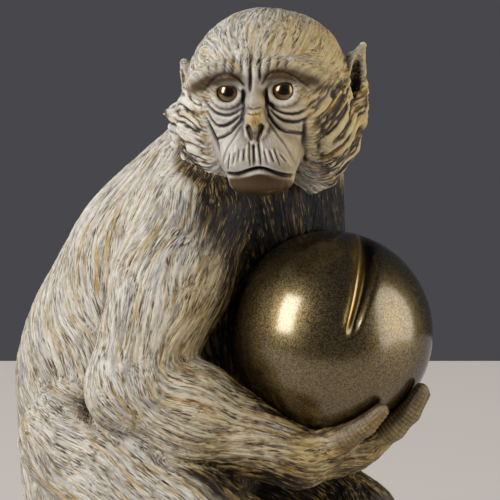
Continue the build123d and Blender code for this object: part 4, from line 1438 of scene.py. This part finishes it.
@dataclass
class RuffLocks:
    """Loose pointed locks over the cheek ruff, set out on the skin by Geometry Nodes, in millimetres."""

    length: float = 12.0
    root: float = 1.35
    bend: float = -0.9
    spacing: float = 5.6
    most_tries: int = 6000
    most_above: float = 0.8
    sunk: float = 0.9
    seed: int = 5

    def spots(self, points: Array, normals: Array) -> Array:
        """Picks places on the ruff that keep their distance from each other.

        Args:
            points: The head's skin, in the head's own axes.
            normals: The outward ways there.

        Returns:
            The numbers of the chosen corners.
        """
        x, y, z = points.T
        edge = (np.abs(x) > 30.0 - 0.25 * np.clip(z + 30.0, -20.0, 20.0)) & (z < 0.0) & (z > -40.0)
        edge &= (y > -22.0) & (y < 8.0) & (np.abs(normals[:, 0]) > 0.25) & (np.abs(x) < 37.0)
        order = np.random.default_rng(self.seed).permutation(np.flatnonzero(edge))[:self.most_tries]
        kept: List[int] = []
        for corner in order.tolist():
            if not kept or float(((points[kept] - points[corner]) ** 2).sum(axis=1).min()) > self.spacing ** 2:
                kept.append(corner)
        return np.array(kept, dtype=np.int64)

    def tree(self, material: bpy.types.Material) -> bpy.types.NodeTree:
        """Builds the tree that sets one bent cone on each point, along the point's own way.

        Args:
            material: The finish of the locks.

        Returns:
            The tree, with its sizes as named inputs.
        """
        tree = bpy.data.node_groups.new("ruff_locks", "GeometryNodeTree")
        for name, kind in (
            ("Geometry", "Geometry"), ("Length", "Float"), ("Root", "Float"), ("Bend", "Float"), ("Seed", "Int"),
        ):
            tree.interface.new_socket(name, in_out="INPUT", socket_type="NodeSocket" + kind)
        tree.interface.new_socket("Geometry", in_out="OUTPUT", socket_type="NodeSocketGeometry")
        given = tree.nodes.new("NodeGroupInput").outputs
        lock = add_node(
            tree, "GeometryNodeMeshCone",
            {"Vertices": 7, "Side Segments": 5, "Radius Bottom": given["Root"], "Depth": given["Length"]}, "Mesh",
            fill_type="NGON",
        )
        up = add_node(tree, "ShaderNodeSeparateXYZ", (add_node(tree, "GeometryNodeInputPosition"),), "Z")
        share = add_node(tree, "ShaderNodeMath", (up, given["Length"]), operation="DIVIDE")
        curve = add_node(tree, "ShaderNodeMath", (share, share), operation="MULTIPLY")
        side = add_node(tree, "ShaderNodeMath", (curve, given["Bend"]), operation="MULTIPLY")
        offset = add_node(tree, "ShaderNodeCombineXYZ", {"X": side})
        lock = add_node(tree, "GeometryNodeSetPosition", {"Geometry": lock, "Offset": offset})
        raised = add_node(tree, "ShaderNodeMapRange", (share, 0.0, 1.0, 0.40, 0.74))
        lock = add_node(
            tree, "GeometryNodeStoreNamedAttribute", {"Geometry": lock, "Name": "relief", "Value": raised},
            data_type="FLOAT", domain="POINT",
        )
        lock = add_node(tree, "GeometryNodeSetShadeSmooth", {"Geometry": lock})
        way = add_node(
            tree, "GeometryNodeInputNamedAttribute", {"Name": "way"}, "Attribute", data_type="FLOAT_VECTOR"
        )
        turn = add_node(tree, "FunctionNodeAlignRotationToVector", {"Vector": way}, axis="Z")
        size = add_node(
            tree, "FunctionNodeRandomValue", {2: 0.65, 3: 1.25, "Seed": given["Seed"]}, 1, data_type="FLOAT"
        )
        locks = add_node(
            tree, "GeometryNodeInstanceOnPoints",
            {"Points": given["Geometry"], "Instance": lock, "Rotation": turn, "Scale": size},
        )
        locks = add_node(tree, "GeometryNodeRealizeInstances", {"Geometry": locks})
        locks = add_node(tree, "GeometryNodeSetMaterial", {"Geometry": locks, "Material": material})
        add_node(tree, "NodeGroupOutput", (locks,))
        return tree

    def piece(
        self, head: "Head", clay: Clay, coat: Coat, points: Array, normals: Array, paint: Dict[str, Array],
        material: bpy.types.Material,
    ) -> None:
        """Makes the locks as one plain mesh on the head, where their tips lie close to it.

        Args:
            head: The head that carries them.
            clay: Its form.
            coat: The lie of its fur.
            points: Its skin, in the head's own axes.
            normals: The outward ways there.
            paint: The skin's painted values, which the locks take over.
            material: The finish.
        """
        chosen = self.spots(points, normals)
        lie = trilinear(coat.lie, (points[chosen] - coat.low) / coat.cell)
        low = clay.read(points[chosen] + self.length * lie) < self.most_above
        chosen, lie = chosen[low], lie[low]
        mesh = bpy.data.meshes.new("ruff_lock_points")
        places = head.out(points[chosen] - self.sunk * normals[chosen]) * MM
        mesh.from_pydata(places.tolist(), [], [])
        # The locks take over the streaks, the painted shade and the painted warm shade of the skin under them.
        taken = {name: paint[name][chosen] for name in ("tint", "occlusion_shade", "gilt_and_warm_shade")}
        taken["way"] = (lie + 0.05 * normals[chosen]) @ head.stance.head_axes().T
        paint_mesh(mesh, taken)
        piece = add_object("ruff_locks", mesh)
        tree = self.tree(material)
        modifier = piece.modifiers.new("locks", "NODES")
        modifier.node_group = tree
        values = {"Length": self.length * MM, "Root": self.root * MM, "Bend": self.bend * MM, "Seed": self.seed}
        for socket in tree.interface.items_tree:
            if socket.name in values:
                modifier[socket.identifier] = values[socket.name]
        evaluated = piece.evaluated_get(bpy.context.evaluated_depsgraph_get())
        plain = bpy.data.meshes.new_from_object(evaluated)
        piece.modifiers.clear()
        piece.data = plain
        dress(piece, "antiqued_cast_resin")


@dataclass
class Figure:
    """The carved figure: the body's castings and the head, each as closed pieces."""

    body: Body = field(default_factory=Body)
    head: Head = field(default_factory=Head)
    body_cell: float = 0.72
    head_cell: float = 0.52
    quick_cells: Tuple[float, float] = (1.8, 1.2)
    coat_cell: float = 3.0
    strand_mm: float = 0.75
    lock_mm: float = 1.7
    crown_lock_mm: float = 1.35
    ruff_lock_mm: float = 2.3
    streak_mm: float = 1.1
    ring_mm: float = 2.1
    torso_cuts: Tuple[float, ...] = (-1.0, 62.0, 172.0, 400.0)
    # Painted warm shade: skin turned these ways, away from the key lamp, on the body and on the face, is painted gold.
    warm_shade_way: Point = (0.80, -0.25, -0.50)
    face_warm_shade_way: Point = (0.93, -0.35, 0.10)

    def head_forms(self) -> List[Form]:
        """Returns the head's larger ovals in the figure's axes, for shade on the body."""
        axes = self.head.stance.head_axes()
        forms: List[Form] = [Oval(self.head.stance.head, self.head.stance.head_halves, axes)]
        for middle, halves in (
            ((0.0, -35.2, -29.4), (20.7, 18.5, 22.5)), ((23.4, -5.3, -19.3), (24.0, 22.9, 31.0)),
            ((-23.4, -5.3, -19.3), (24.0, 22.9, 31.0)),
        ):
            forms.append(Oval(self.head.out(np.array(middle)), halves, axes))
        return forms

    def occlusion_shade(self, points: Array, normals: Array, low: Array, cell: float, distance: Array) -> Array:
        """Works out how closed in each point is, which the finish paints as shade.

        Args:
            points: Places on the skin.
            normals: The outward ways there.
            low: The lowest corner of the distances.
            cell: The edge of one of their cells.
            distance: Distances to everything near.

        Returns:
            0 in the open to about 1 where the skin is closed in, for each point.
        """
        total = np.zeros(len(points))
        for reach in (5.0, 12.0, 24.0, 38.0):
            away = trilinear(distance, (points + normals * reach - low) / cell)
            total += np.clip(1.0 - away / reach, 0.0, 1.1) / 4.0
        return total

    def finger_rings(self, points: Array) -> Tuple[Array, Array]:
        """Draws the knuckle rings across the digits.

        Args:
            points: Places on the skin.

        Returns:
            The rings, from -1 to 1, and how far each point is on a digit.
        """
        rings = np.zeros(len(points))
        nearest = np.full(len(points), 2.5)
        digit = np.zeros(len(points))
        stance = self.body.stance
        for side in Side:
            for start, end in self.body.digits[side]:
                first, last = stance.way(*start), stance.way(*end)
                across = unit(np.cross(first, last))
                away = np.full(len(points), 1e3)
                for muscle in self.body.digit(Zone.RIGHT_HAND, start, end):
                    away = np.minimum(away, muscle.form.distance(*points.T))
                offset = points - stance.fruit
                angle = np.arctan2(offset @ np.cross(across, first), offset @ first)
                closer = away < nearest
                along = angle * (stance.fruit_radius + self.body.finger_radius)
                wave = np.cos(2.0 * math.pi * along / self.ring_mm)
                bared = ease(2.0, 9.0, along)
                rings = np.where(closer, wave * bared, rings)
                digit = np.where(closer, bared * (1.0 - ease(0.0, 2.5, away)), digit)
                nearest = np.where(closer, away, nearest)
        return rings, digit

    def body_pieces(self, material: bpy.types.Material) -> None:
        """Sculpts, combs and paints the body, and makes one closed piece for each casting.

        Args:
            material: The finish.
        """
        cell = self.body_cell
        clay, muscles = self.body.sculpt(cell)
        coat = Coat(clay.low, clay.low + np.array(clay.block.shape) * cell, self.coat_cell, 11)
        zones = {zone: np.full(coat.lie.shape[:3], 1e3, dtype=np.float32) for zone in Zone}
        for muscle in muscles:
            np.minimum(zones[muscle.zone], coat.press(muscle.form, muscle.lie), out=zones[muscle.zone])
        for middle, halves, lie in self.body.swirls:
            coat.press(Oval(np.array(middle), halves), 1.6 * self.body.stance.way(*lie))
        around = np.min([zones[zone] for zone in Zone], axis=0)
        coat.settle(around, 0.32)
        # The fruit and the head count too, so that painted shade falls beside the fruit and under the chin.
        fruit = Oval(self.body.stance.fruit, (self.body.stance.fruit_radius,) * 3)
        for form in [fruit] + self.head_forms():
            around = np.minimum(around, form.distance(coat.x, coat.y, coat.z))
        points, quads = clay.skin()
        normals = corner_normals(points, quads)
        LOG.info("body skin: %d faces", len(quads))
        strand, lock, streak = coat.comb(points, (self.strand_mm, self.lock_mm, self.streak_mm), 11.0, 1.1)
        laid, inside = coat.strand_places(points, 14.0, 13.0)
        places = (points - coat.low) / coat.cell
        zone_list = list(Zone)
        reaches = np.stack([trilinear(zones[zone], places) for zone in zone_list], axis=1)
        # Painted shade: how closed in each point is, which the finish paints darker.
        occlusion_shade = self.occlusion_shade(points, normals, coat.low, coat.cell, around)
        hands = np.minimum(reaches[:, zone_list.index(Zone.RIGHT_HAND)], reaches[:, zone_list.index(Zone.LEFT_HAND)])
        hand = 1.0 - ease(-1.0, 9.0, hands)
        # Painted warm shade: gold, and a little darker, where the skin turns away from the key lamp.
        gold = ease(0.05, 0.85, normals @ unit(self.warm_shade_way))
        reach = reaches[:, zone_list.index(Zone.RIGHT_ARM)]
        # The forearm gets less of the painted shade from being closed in, is painted a little lighter, and takes the
        # gold of the painted warm shade.
        forearm = ease(-50.0, 0.0, points[:, 0]) * ease(175.0, 140.0, points[:, 2]) * ease(6.0, 0.0, reach)
        gold = np.maximum(gold, 0.75 * forearm)
        # Painted shadow: the chest under the chin and beside the fruit is painted darker and more closed in.
        across, up = (points[:, 0] - 30.0) / 36.0, (points[:, 2] - 206.0) / 24.0
        chest_shadow = np.exp(-across * across - up * up) * ease(0.0, 0.6, -normals[:, 1])
        chest_shadow = np.maximum(chest_shadow, np.exp(-up * up) * ease(34.0, 52.0, points[:, 0]))
        # Painted shade: the gap under the forearm, above the leg, is painted darker and more closed in.
        under = ease(104.0, 76.0, points[:, 2]) * ease(-22.0, 8.0, points[:, 0])
        under *= ease(0.40, -0.20, normals[:, 1])
        low = self.body.stance.hip[2]
        rings, digit = self.finger_rings(points)
        rings = rings * np.clip(0.7 + 0.5 * lock, 0.1, 1.3)
        fur = (1.0 - 0.9 * digit) * (1.0 + 0.5 * np.maximum(forearm, hand)) * ease(low, low + 3.0, points[:, 2])
        crease = np.sqrt(lock * lock + 0.03)
        raised = fur * (0.20 * np.tanh(strand) + 0.30 * (np.minimum(crease, 1.5) - 0.75)) + 0.14 * rings
        points = points + normals * raised[:, None]
        points[:, 2] = np.maximum(points[:, 2], low)
        relief = 0.60 + fur * (0.06 * strand + 0.25 * (np.minimum(crease, 1.5) - 0.75)) + 0.11 * rings - 0.03 * gold
        paint = {
            "relief": relief - 0.30 * chest_shadow - 0.14 * under + 0.05 * forearm,
            "occlusion_shade": occlusion_shade - 0.24 * forearm + 0.70 * chest_shadow + 0.45 * under, "brown_paint_and_shade": 0.15 * hand + 0.40 * digit,
            "skin": np.zeros(len(points)), "tint": streak, "strand_place": laid, "inside": inside,
            "gilt_and_warm_shade": np.clip(0.8 * gold + 0.7 * hand, 0.0, 1.0),
        }
        surface = Surface(points, quads, corner_normals(points, quads), paint)
        label = np.argmin(reaches, axis=1)[quads[:, 0]]
        for index, zone in enumerate(zone_list):
            chosen = label == index
            if zone is Zone.TORSO:
                heights = points[quads[:, 0], 2]
                for number, (bottom, top) in enumerate(zip(self.torso_cuts, self.torso_cuts[1:]), start=1):
                    part = surface.part(chosen & (heights >= bottom) & (heights < top))
                    dress(part.make(f"torso_casting_{number}", material), "antiqued_cast_resin", "torso")
            else:
                piece = surface.part(chosen).make(zone.value + "_casting", material)
                dress(piece, "antiqued_cast_resin", zone.value)

    def head_pieces(self, material: bpy.types.Material) -> None:
        """Sculpts, combs and paints the head, as a face and two halves of the back.

        Args:
            material: The finish.
        """
        cell = self.head_cell
        clay = self.head.sculpt(cell)
        coat = Coat(clay.low, clay.low + np.array(clay.block.shape) * cell, self.coat_cell, 23)
        coat.lie += np.stack(
            np.broadcast_arrays(coat.x, 0.35 * (coat.y + 44.0), coat.z + 6.0), axis=-1
        ).astype(np.float32)
        swept = ease(22.0, 31.0, np.abs(coat.x)) * ease(9.0, -3.0, coat.z) + 0.0 * coat.y
        rise = np.where(coat.x > 0.0, 0.08 + 0.45 * ease(-46.0, -20.0, coat.z), 0.20) + 0.0 * coat.y
        sweep = np.stack(np.broadcast_arrays(np.sign(coat.x) + 0.0 * rise, 0.30, rise), axis=-1)
        coat.lie = (coat.lie * (1.0 - swept)[..., None] + 40.0 * sweep * swept[..., None]).astype(np.float32)
        grid = np.stack(np.broadcast_arrays(coat.x, coat.y, coat.z), axis=-1).reshape(-1, 3)
        around = clay.read(grid).reshape(coat.lie.shape[:3])
        coat.settle(around, 0.25)
        points, quads = clay.skin()
        normals = corner_normals(points, quads)
        LOG.info("head skin: %d faces", len(quads))
        x, y, z = points.T
        ruff = ease(24.0, 33.0, np.abs(x)) * ease(8.0, -3.0, z)
        strand, lock, streak = coat.comb(points, (self.strand_mm, self.crown_lock_mm, self.streak_mm), 6.0, 0.75)
        long = coat.comb(points, (self.streak_mm, self.ruff_lock_mm, self.lock_mm), 15.0, 1.25)
        strand, lock, streak = (
            short * (1.0 - ruff) + swept_out * ruff for short, swept_out in zip((strand, lock, streak), long)
        )
        laid, inside = coat.strand_places(points, 11.0, 10.0)
        far_laid, far_inside = coat.strand_places(points, 17.0, 15.0)
        laid = np.where((ruff > 0.5)[:, None], far_laid, laid)
        inside = np.where(ruff > 0.5, far_inside, inside) * ease(0.0, 0.25, np.abs(ruff - 0.5))
        # Painted warm shade: gold where the head turns away from the key lamp.
        gold = ease(0.10, 0.95, normals @ unit(self.face_warm_shade_way))
        crease = np.sqrt(lock * lock + 0.03)
        oval = np.sqrt(((x - 0.6) / 26.0) ** 2 + ((z + 18.0) / 31.0) ** 2)
        front = ease(-14.0, -24.0, y)
        bare = (1.0 - ease(0.86, 1.06, oval)) * front
        facing = ease(0.1, 0.5, -normals[:, 1])
        lines = list(self.head.grooves) + self.head.whisker_lines()
        pressed = sum(line.press(x, z) for line in lines) * facing
        # Brown paint, partly painted shade, from the patches above.
        brown = np.clip(sum(brown_paint_and_shade.press(x, z) for brown_paint_and_shade in self.head.brown_and_shade_patches), 0.0, 1.0) * front
        # Painted shade: under the chin the patch also covers the skin that faces down.
        brown *= np.maximum(facing, ease(-40.0, -44.0, z))
        fur = (1.0 - 0.93 * bare) * (1.0 - 0.5 * brown) * (0.75 + 0.45 * ruff)
        raised = fur * (0.20 * np.tanh(strand) + (0.28 + 0.62 * ruff) * (np.minimum(crease, 1.6) - 0.75)) - pressed
        # Painted shade, as on the body; it is kept weaker on the head.
        occlusion_shade = self.occlusion_shade(points, normals, coat.low, coat.cell, around)
        relief = 0.58 + fur * (0.06 * strand + (0.25 + 0.50 * ruff) * (np.minimum(crease, 1.5) - 0.75))
        # Cut lines are painted darker and raised lines lighter; on the lower lip that lighter line is a painted
        # highlight.
        relief -= 0.28 * np.maximum(pressed, 0.0) + 0.60 * np.minimum(pressed, 0.0)
        # Painted shade: bare skin is painted lighter, but darker where it is closed in.
        relief += bare * (0.13 - 0.40 * np.clip(occlusion_shade, 0.0, 0.6))
        # On the side painted as warm shade, the fur is painted lighter, and the ruff a little darker with stronger
        # strands.
        relief += gold * (1.0 - bare) * (0.12 - 0.17 * ruff + 0.30 * ruff * (np.minimum(crease, 1.5) - 0.75))
        points = points + normals * raised[:, None]
        normals = corner_normals(points, quads)
        hollow = ((smoothed(points, quads, 7) - points) * normals).sum(axis=1)
        relief -= (0.35 + 0.55 * bare) * np.clip(hollow, -0.25, 0.45)
        tip = np.exp(-((x - 1.4) / 4.0) ** 2 - ((z + 13.0) / 5.5) ** 2) * front
        paint = {
            "relief": relief, "occlusion_shade": 0.55 * occlusion_shade, "skin": bare * (1.0 - 0.75 * tip), "brown_paint_and_shade": brown,
            "tint": streak + 1.5 * tip, "strand_place": laid, "inside": inside,
            "gilt_and_warm_shade": np.clip((0.95 - 0.25 * bare) * gold + tip, 0.0, 1.0),
        }
        RuffLocks().piece(self.head, clay, coat, points, normals, paint, material)
        surface = Surface(self.head.out(points), quads, normals @ self.head.stance.head_axes().T, paint)
        ahead, right = y[quads[:, 0]] < -16.0, x[quads[:, 0]] < 0.0
        for name, chosen in (("face", ahead), ("back_1", ~ahead & right), ("back_2", ~ahead & ~right)):
            dress(surface.part(chosen).make(f"head_casting_{name}", material), "antiqued_cast_resin", "head")


def globe(rows: int, columns: int) -> Tuple[Array, Array, Array, List[Tuple[int, ...]]]:
    """Lays a ball out as a turned grid.

    Args:
        rows: How many bands there are from pole to pole.
        columns: How many faces go round.

    Returns:
        Each corner's latitude, longitude and outward way, with the poles last, and the faces.
    """
    lift, turn = np.meshgrid(
        math.pi * (np.arange(1, rows) / rows - 0.5), 2.0 * math.pi * np.arange(columns) / columns, indexing="ij"
    )
    lift, turn = np.append(lift, (-0.5 * math.pi, 0.5 * math.pi)), np.append(turn, (0.0, 0.0))
    ways = np.stack((np.cos(lift) * np.cos(turn), np.cos(lift) * np.sin(turn), np.sin(lift)), axis=-1)
    pole = (rows - 1) * columns
    top = pole - columns
    faces: List[Tuple[int, ...]] = []
    for column in range(columns):
        after = (column + 1) % columns
        faces += [(pole, after, column), (pole + 1, top + column, top + after)]
        faces += [
            (row + column, row + after, row + columns + after, row + columns + column)
            for row in range(0, top, columns)
        ]
    return lift, turn, ways, faces


def ball_piece(
    name: str, corners: Array, faces: List[Tuple[int, ...]], paint: Dict[str, Array], material: bpy.types.Material
) -> bpy.types.Object:
    """Makes a smooth piece from a globe's grid.

    Args:
        name: The piece's name.
        corners: Its corners in millimetres.
        faces: The globe's faces.
        paint: Values painted on the corners.
        material: The finish.

    Returns:
        The new object, at the origin.
    """
    mesh = bpy.data.meshes.new(name)
    mesh.from_pydata((corners * MM).tolist(), [], faces)
    mesh.polygons.foreach_set("use_smooth", np.ones(len(faces), dtype=bool))
    paint_mesh(mesh, paint)
    mesh.materials.append(material)
    return add_object(name, mesh)


@dataclass
class Fruit:
    """The round fruit in the figure's hands, with its crease and the raised lip beside it."""

    stance: Stance = STANCE
    crease_start: Point = (0.41, 0.02, 0.91)
    crease_end: Point = (0.62, -0.78, 0.04)
    crease_width: float = 10.0
    crease_depth: float = 4.4
    crease_edge: float = 2.6
    lip: float = 1.3
    lip_side: float = -1.0
    rings: int = 220

    def piece(self, material: bpy.types.Material) -> None:
        """Makes the ball and presses the crease into it.

        Args:
            material: The finish.
        """
        first, last = self.stance.way(*self.crease_start), self.stance.way(*self.crease_end)
        pole = unit(np.cross(first, last))
        span = math.acos(float(np.clip(first @ last, -1.0, 1.0)))
        axes = np.stack((first, unit(np.cross(pole, first)), pole), axis=1)
        lift, turn, ways, faces = globe(self.rings, 2 * self.rings)
        share = (np.mod(turn + math.pi, 2.0 * math.pi) - math.pi) / span
        inside = ease(-0.25, 0.05, share) * (1.0 - ease(0.86, 1.02, share))
        along = np.clip(share, 0.0, 1.0)
        across = lift * self.stance.fruit_radius
        width = self.crease_width * (1.0 - 0.55 * along)
        groove = -self.crease_depth * (1.0 - 0.45 * along) * inside
        groove *= np.exp(-np.abs(across / (width / 2.0)) ** self.crease_edge)
        beside = (across - self.lip_side * 0.62 * width) / (0.30 * width + 0.4)
        ridge = self.lip * inside * np.exp(-beside ** 2)
        radius = self.stance.fruit_radius + groove + ridge
        corners = (ways * radius[:, None]) @ axes.T + self.stance.fruit
        # The crease share is painted as shade and the lip share as a highlight.
        paint = {"crease": -groove / self.crease_depth, "lip": ridge / self.lip}
        dress(ball_piece("fruit_ball", corners, faces, paint, material), "bronze_lacquer", "fruit")


@dataclass
class Eye:
    """One enamelled bead with a painted iris."""

    side: Side
    head: Head = field(default_factory=Head)
    rings: int = 48
    gaze: Point = (0.05, -1.0, -0.05)

    def piece(self, material: bpy.types.Material) -> None:
        """Makes the bead, with its poles up and down and the painted iris as an attribute.

        Args:
            material: The finish.
        """
        _, _, ways, faces = globe(self.rings // 2, self.rings)
        name = self.side.name.lower() + "_eye"
        corners = self.head.out(np.array(self.head.eyes[self.side]) + ways * self.head.eye_radius)
        piece = ball_piece(name + "_bead", corners, faces, {"gaze": ways @ unit(self.gaze)}, material)
        dress(piece, "eye_enamel", name)


@dataclass(frozen=True)
class Lamp:
    """A soft light: the way to it from the figure, its distance and size in metres, its power and its outline."""

    name: str
    way: Point
    far: float
    size: Tuple[float, float]
    power: float
    shape: str = "RECTANGLE"

    def hang(self, target: Point) -> None:
        """Hangs the light so that it looks at a place.

        Args:
            target: The place, in millimetres.
        """
        data = bpy.data.lights.new(self.name, "AREA")
        data.shape, data.energy = self.shape, self.power
        data.size, data.size_y = self.size
        lamp = add_object(self.name, data)
        direction = Vector(self.way).normalized()
        lamp.location = Vector(target) * MM + direction * self.far
        lamp.rotation_euler = direction.to_track_quat("Z", "Y").to_euler()


def seen_directly(tree: bpy.types.NodeTree) -> bpy.types.NodeSocket:
    """Tells what is looked at from what only sheds light.

    Args:
        tree: The tree that asks.

    Returns:
        1 for rays from the camera, off a mirror or through glass, otherwise 0.
    """
    path = add_node(tree, "ShaderNodeLightPath").node.outputs
    seen = path["Is Camera Ray"]
    for name in ("Is Glossy Ray", "Is Transmission Ray"):
        seen = add_node(tree, "ShaderNodeMath", (seen, path[name]), operation="MAXIMUM")
    return seen


@dataclass
class Studio:
    """The plain pale table, the soft lights and the camera. The table is in metres."""

    target: Point = (18.0, -20.0, 189.8)
    distance: float = 1400.0
    elevation: float = math.radians(4.0)
    frame_mm: float = 250.0
    sensor_mm: float = 36.0
    table: Point = (3.6, 1.58, 0.02)
    behind: float = 1.2
    backdrop: str = "#47474c"
    fill: str = "#ffffff"
    fill_strength: float = 0.25
    table_colour: str = "#c4beb9"
    table_seen: str = "#d2cac4"
    table_glow: float = 0.55
    grain_mm: float = 2.5
    rough_range: Range = (0.3, 0.7, 0.5, 0.6)
    lamps: Tuple[Lamp, ...] = (
        Lamp("strip_softbox", (-0.73, -0.58, 0.36), 1.0, (0.36, 0.7), 8.0),
        Lamp("side_sheet", (0.97, -0.20, 0.12), 1.5, (1.4, 2.0), 19.0, "ELLIPSE"),
        Lamp("top_softbox", (-0.62, 0.58, 0.53), 1.4, (1.1, 1.1), 7.0),
    )

    def camera(self) -> None:
        """Sets the camera at the photograph's angle."""
        data = bpy.data.cameras.new("photo_camera")
        data.sensor_width = self.sensor_mm
        data.lens = self.sensor_mm * self.distance / self.frame_mm
        data.clip_end = 30.0
        camera = add_object("photo_camera", data)
        away = Vector((0.0, -math.cos(self.elevation), math.sin(self.elevation)))
        camera.location = (Vector(self.target) + away * self.distance) * MM
        camera.rotation_euler = (-away).to_track_quat("-Z", "Y").to_euler()
        bpy.context.scene.camera = camera

    def world(self) -> None:
        """Gives a plain dark grey background and an even soft fill."""
        world = bpy.data.worlds.new("studio")
        world.use_nodes = True
        bpy.context.scene.world = world
        tree = world.node_tree
        tree.nodes.clear()
        fill, back = (
            add_node(tree, "ShaderNodeBackground", {"Color": linear(colour), "Strength": strength})
            for colour, strength in ((self.fill, self.fill_strength), (self.backdrop, 1.0))
        )
        mix = add_node(tree, "ShaderNodeMixShader", (seen_directly(tree), fill, back))
        add_node(tree, "ShaderNodeOutputWorld", (mix,))

    def table_paint(self) -> bpy.types.Material:
        """Returns the finish of the table."""
        # To the eye: flat pale paint that stays pale behind the figure and still takes its soft shadow.
        material, tree = new_material("painted_table_top")
        place = add_node(tree, "ShaderNodeTexCoord", out="Object")
        grain = add_node(
            tree, "ShaderNodeTexNoise", {"Vector": place, "Scale": 1.0 / (self.grain_mm * MM), "Detail": 2.0}, "Fac"
        )
        rough = add_node(tree, "ShaderNodeMapRange", (grain, *self.rough_range))
        paint = add_node(
            tree, "ShaderNodeBsdfPrincipled", {"Base Color": linear(self.table_colour), "Roughness": rough}
        )
        share = add_node(tree, "ShaderNodeMath", (seen_directly(tree), self.table_glow), operation="MULTIPLY")
        pale = add_node(tree, "ShaderNodeEmission", {"Color": linear(self.table_seen), "Strength": 1.0})
        mix = add_node(tree, "ShaderNodeMixShader", (share, paint, pale))
        add_node(tree, "ShaderNodeOutputMaterial", (mix,))
        return material

    def floor(self) -> None:
        """Lays the plain pale table top under the figure."""
        wide, deep, thick = self.table
        half, front, back = wide / 2, deep - self.behind, self.behind
        outline = ((-half, -front), (half, -front), (half, back), (-half, back))
        corners = [(x, y, z) for z in (-thick, 0.0) for x, y in outline]
        faces = [(3, 2, 1, 0), (4, 5, 6, 7), (0, 1, 5, 4), (1, 2, 6, 5), (2, 3, 7, 6), (3, 0, 4, 7)]
        mesh = bpy.data.meshes.new("table_top")
        mesh.from_pydata(corners, [], faces)
        mesh.materials.append(self.table_paint())
        add_object("table_top", mesh)

    def build(self) -> None:
        """Sets up everything round the figure."""
        bpy.context.scene.view_settings.view_transform = "Standard"
        self.camera()
        self.world()
        self.floor()
        for lamp in self.lamps:
            lamp.hang(self.target)


def finish_solids() -> None:
    """Gives the pins and felt pads that stay as solids their own finishes."""
    steel, felt = PinSteel().make(), PressedFelt().make()
    for name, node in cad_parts.items():
        if name.endswith("_pin") or name == "felt_pads":
            node.data.materials.clear()
            node.data.materials.append(felt if name == "felt_pads" else steel)
            LOG.info("%s keeps its solid", name)


def main() -> None:
    """Builds the studio and every piece in order."""
    logging.basicConfig(level=logging.INFO, format="%(message)s")
    Studio().build()
    resin = AntiquedResin().make()
    figure = Figure()
    figure.body_pieces(resin)
    figure.head_pieces(resin)
    Fruit().piece(FlakeLacquer().make())
    enamel = EyeEnamel().make()
    for side in Side:
        Eye(side).piece(enamel)
    finish_solids()


if __name__ == "__main__":
    main()
